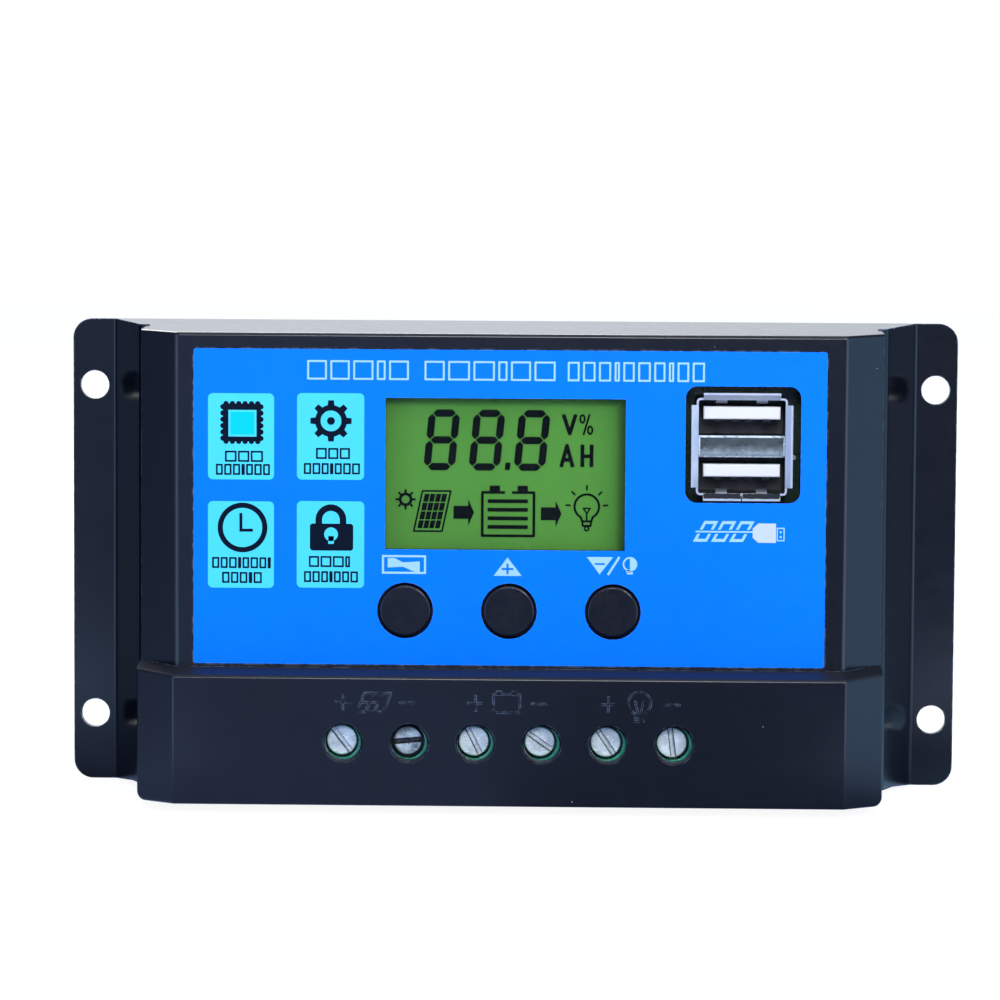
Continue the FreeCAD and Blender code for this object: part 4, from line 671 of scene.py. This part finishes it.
# ---------------------------------------------------------------- springs in the USB sockets
def bent_strip(mesh, x0, x1, path):
    """A closed strip from x0 to x1 that follows path, a list of (depth, z), in mm."""
    sides = []
    for x in (x0, x1):
        upper = [mesh.verts.new((x * MM, -d * MM, z * MM)) for d, z in path]
        lower = [mesh.verts.new((x * MM, -d * MM, (z - SPRING_T) * MM)) for d, z in path]
        sides.append((upper, lower))
    (ua, la), (ub, lb) = sides
    for i in range(len(path) - 1):
        mesh.faces.new((ua[i], ua[i + 1], ub[i + 1], ub[i]))
        mesh.faces.new((la[i], la[i + 1], lb[i + 1], lb[i]))
        mesh.faces.new((ua[i], ua[i + 1], la[i + 1], la[i]))
        mesh.faces.new((ub[i], ub[i + 1], lb[i + 1], lb[i]))
    for end in (0, -1):
        mesh.faces.new((ua[end], ub[end], lb[end], la[end]))


def strips_piece(name, finish, strips):
    """One piece of several bent strips, each (x0, x1, path)."""
    mesh = bmesh.new()
    for x0, x1, path in strips:
        bent_strip(mesh, x0, x1, path)
    add_piece(name, mesh, FINISHES[finish])


def socket_springs():
    """Latch springs pressed out of the shell, and the bends of the contacts under each tongue."""
    latches = []
    for side in (-1, 1):
        x = USB_X + side * LATCH_X
        for base, inward in ((SHELL_ROOF, -1), (SHELL_FLOOR + SPRING_T, 1)):
            path = [(d, base + inward * r) for d, r in LATCH_RISE]
            latches.append((x - LATCH_HALF_W, x + LATCH_HALF_W, path))
    strips_piece("usb_latch_springs", "usb_spring_metal", latches)
    bends = []
    for tongue_low in TONGUES_LOW:
        path = [(d, tongue_low - r) for d, r in BEND_DROP]
        for x in CONTACTS_X:
            bends.append((USB_X + x - BEND_HALF_W, USB_X + x + BEND_HALF_W, path))
    strips_piece("usb_contact_bends", "contact_bend", bends)


# ---------------------------------------------------------------- studio
def make_camera():
    yaw, pitch, roll = (math.radians(a) for a in (CAMERA_YAW, CAMERA_PITCH, CAMERA_ROLL))
    level = Vector((math.cos(yaw), math.sin(yaw), 0.0))
    ahead = Vector((-math.sin(yaw) * math.cos(pitch), math.cos(yaw) * math.cos(pitch), -math.sin(pitch)))
    above = level.cross(ahead)
    right = level * math.cos(roll) + above * math.sin(roll)
    up = above * math.cos(roll) - level * math.sin(roll)
    data = bpy.data.cameras.new("camera")
    data.lens = CAMERA_LENS
    data.sensor_width = CAMERA_SENSOR
    data.clip_start = 0.01
    data.clip_end = 50.0
    camera = bpy.data.objects.new("camera", data)
    turned = Matrix((right, up, -ahead)).transposed().to_4x4()
    camera.matrix_world = Matrix.Translation(Vector(CAMERA_AT) * MM) @ turned
    bpy.context.scene.collection.objects.link(camera)
    bpy.context.scene.camera = camera


def soft_light(name, at, size, power):
    """A white rectangle of light aimed at the object."""
    data = bpy.data.lights.new(name, "AREA")
    data.shape = "RECTANGLE"
    data.size, data.size_y = size
    data.energy = power
    light = bpy.data.objects.new(name, data)
    light.location = at
    light.rotation_euler = (-Vector(at)).to_track_quat("-Z", "Y").to_euler()
    bpy.context.scene.collection.objects.link(light)


def surroundings(tree, way):
    """Colour that the object mirrors in direction way."""
    x, y, z = node(tree, "ShaderNodeSeparateXYZ", {0: way}).outputs
    ahead = ramp(tree, y, 0.25, -0.35)
    front = maths(tree, "MULTIPLY", ahead, ramp(tree, x, -0.12, 0.12, 1.02, 0.52))
    level = maths(tree, "MULTIPLY", ramp(tree, z, 0.40, 0.20), ramp(tree, z, -0.40, -0.20))
    panels = []
    for side in (1, -1):
        aside = maths(tree, "MULTIPLY", x, side)
        across = maths(tree, "MULTIPLY", ramp(tree, aside, 0.38, 0.52), ramp(tree, aside, 0.92, 0.80))
        panels.append(maths(tree, "MULTIPLY", maths(tree, "MULTIPLY", across, level), ahead))
    parts = ((ROOM_FRONT, front), (ROOM_RIGHT, ramp(tree, x, 0.80, 0.96)),
             (ROOM_BACK, ramp(tree, y, 0.86, 0.97)), (ROOM_ABOVE, ramp(tree, z, 0.25, 0.85)),
             (ROOM_RIGHT_PANEL, panels[0]), (ROOM_LEFT_PANEL, panels[1]))
    total = None
    for colour, share in parts:
        lit = node(tree, "ShaderNodeVectorMath", {0: colour, "Scale": share}, operation="SCALE").outputs[0]
        if total is None:
            total = lit
        else:
            total = node(tree, "ShaderNodeVectorMath", {0: total, 1: lit}, operation="ADD").outputs[0]
    return total


def make_floor():
    """A pale floor that meets the white background without a line."""
    half = FLOOR_SIZE / 2.0
    z = cad_low.z - FLOOR_GAP
    data = bpy.data.meshes.new("floor")
    corners = [(-half, -half, z), (half, -half, z), (half, half, z), (-half, half, z)]
    data.from_pydata(corners, [], [(0, 1, 2, 3)])
    floor = bpy.data.objects.new("floor", data)
    bpy.context.scene.collection.objects.link(floor)
    mat = bpy.data.materials.new("floor_paper")
    mat.use_nodes = True
    tree = mat.node_tree
    tree.nodes.clear()
    glow = node(tree, "ShaderNodeEmission", {"Color": (1, 1, 1, 1), "Strength": FLOOR_GLOW})
    lit = node(tree, "ShaderNodeBsdfDiffuse", {"Color": (FLOOR_ALBEDO,) * 3 + (1.0,)})
    seen = node(tree, "ShaderNodeAddShader", {0: glow.outputs[0], 1: lit.outputs[0]})
    place = node(tree, "ShaderNodeTexCoord").outputs["Object"]
    way = node(tree, "ShaderNodeVectorMath", {0: place}, operation="NORMALIZE").outputs[0]
    bounce = node(tree, "ShaderNodeEmission", {"Color": surroundings(tree, way), "Strength": 1.0})
    path = node(tree, "ShaderNodeLightPath").outputs["Is Camera Ray"]
    mixed = node(tree, "ShaderNodeMixShader", {0: path, 1: bounce.outputs[0], 2: seen.outputs[0]})
    node(tree, "ShaderNodeOutputMaterial", {"Surface": mixed.outputs[0]})
    data.materials.append(mat)


def make_world():
    """White to the camera; the room's colours for everything that the object mirrors."""
    world = bpy.data.worlds.new("studio")
    bpy.context.scene.world = world
    world.use_nodes = True
    tree = world.node_tree
    tree.nodes.clear()
    way = node(tree, "ShaderNodeTexCoord").outputs["Generated"]
    white = node(tree, "ShaderNodeBackground", {"Color": (1, 1, 1, 1), "Strength": 1.0})
    room = node(tree, "ShaderNodeBackground", {"Color": surroundings(tree, way), "Strength": 1.0})
    path = node(tree, "ShaderNodeLightPath").outputs["Is Camera Ray"]
    mixed = node(tree, "ShaderNodeMixShader", {0: path, 1: room.outputs[0], 2: white.outputs[0]})
    node(tree, "ShaderNodeOutputWorld", {"Surface": mixed.outputs[0]})


def make_studio():
    make_floor()
    make_world()
    soft_light("key_right", (0.75, -0.95, 0.95), (0.5, 0.5), 3.5)
    soft_light("front", (0.0, -1.40, 0.42), (0.3, 0.3), 4.2)
    soft_light("front_right", (0.48, -1.25, 0.50), (0.22, 0.22), 4.5)
    soft_light("top", (0.0, -0.1, 1.3), (1.2, 1.0), 3.0)
    soft_light("behind", (-0.3, 1.1, 0.9), (0.8, 0.5), 14.0)
    settings = bpy.context.scene.view_settings
    settings.view_transform = "Standard"
    settings.look = "None"
    settings.exposure = 0.0
    settings.gamma = 1.0


make_camera()
make_studio()
finish_nodes()
label_print()
button_symbols()
socket_mark()
socket_springs()
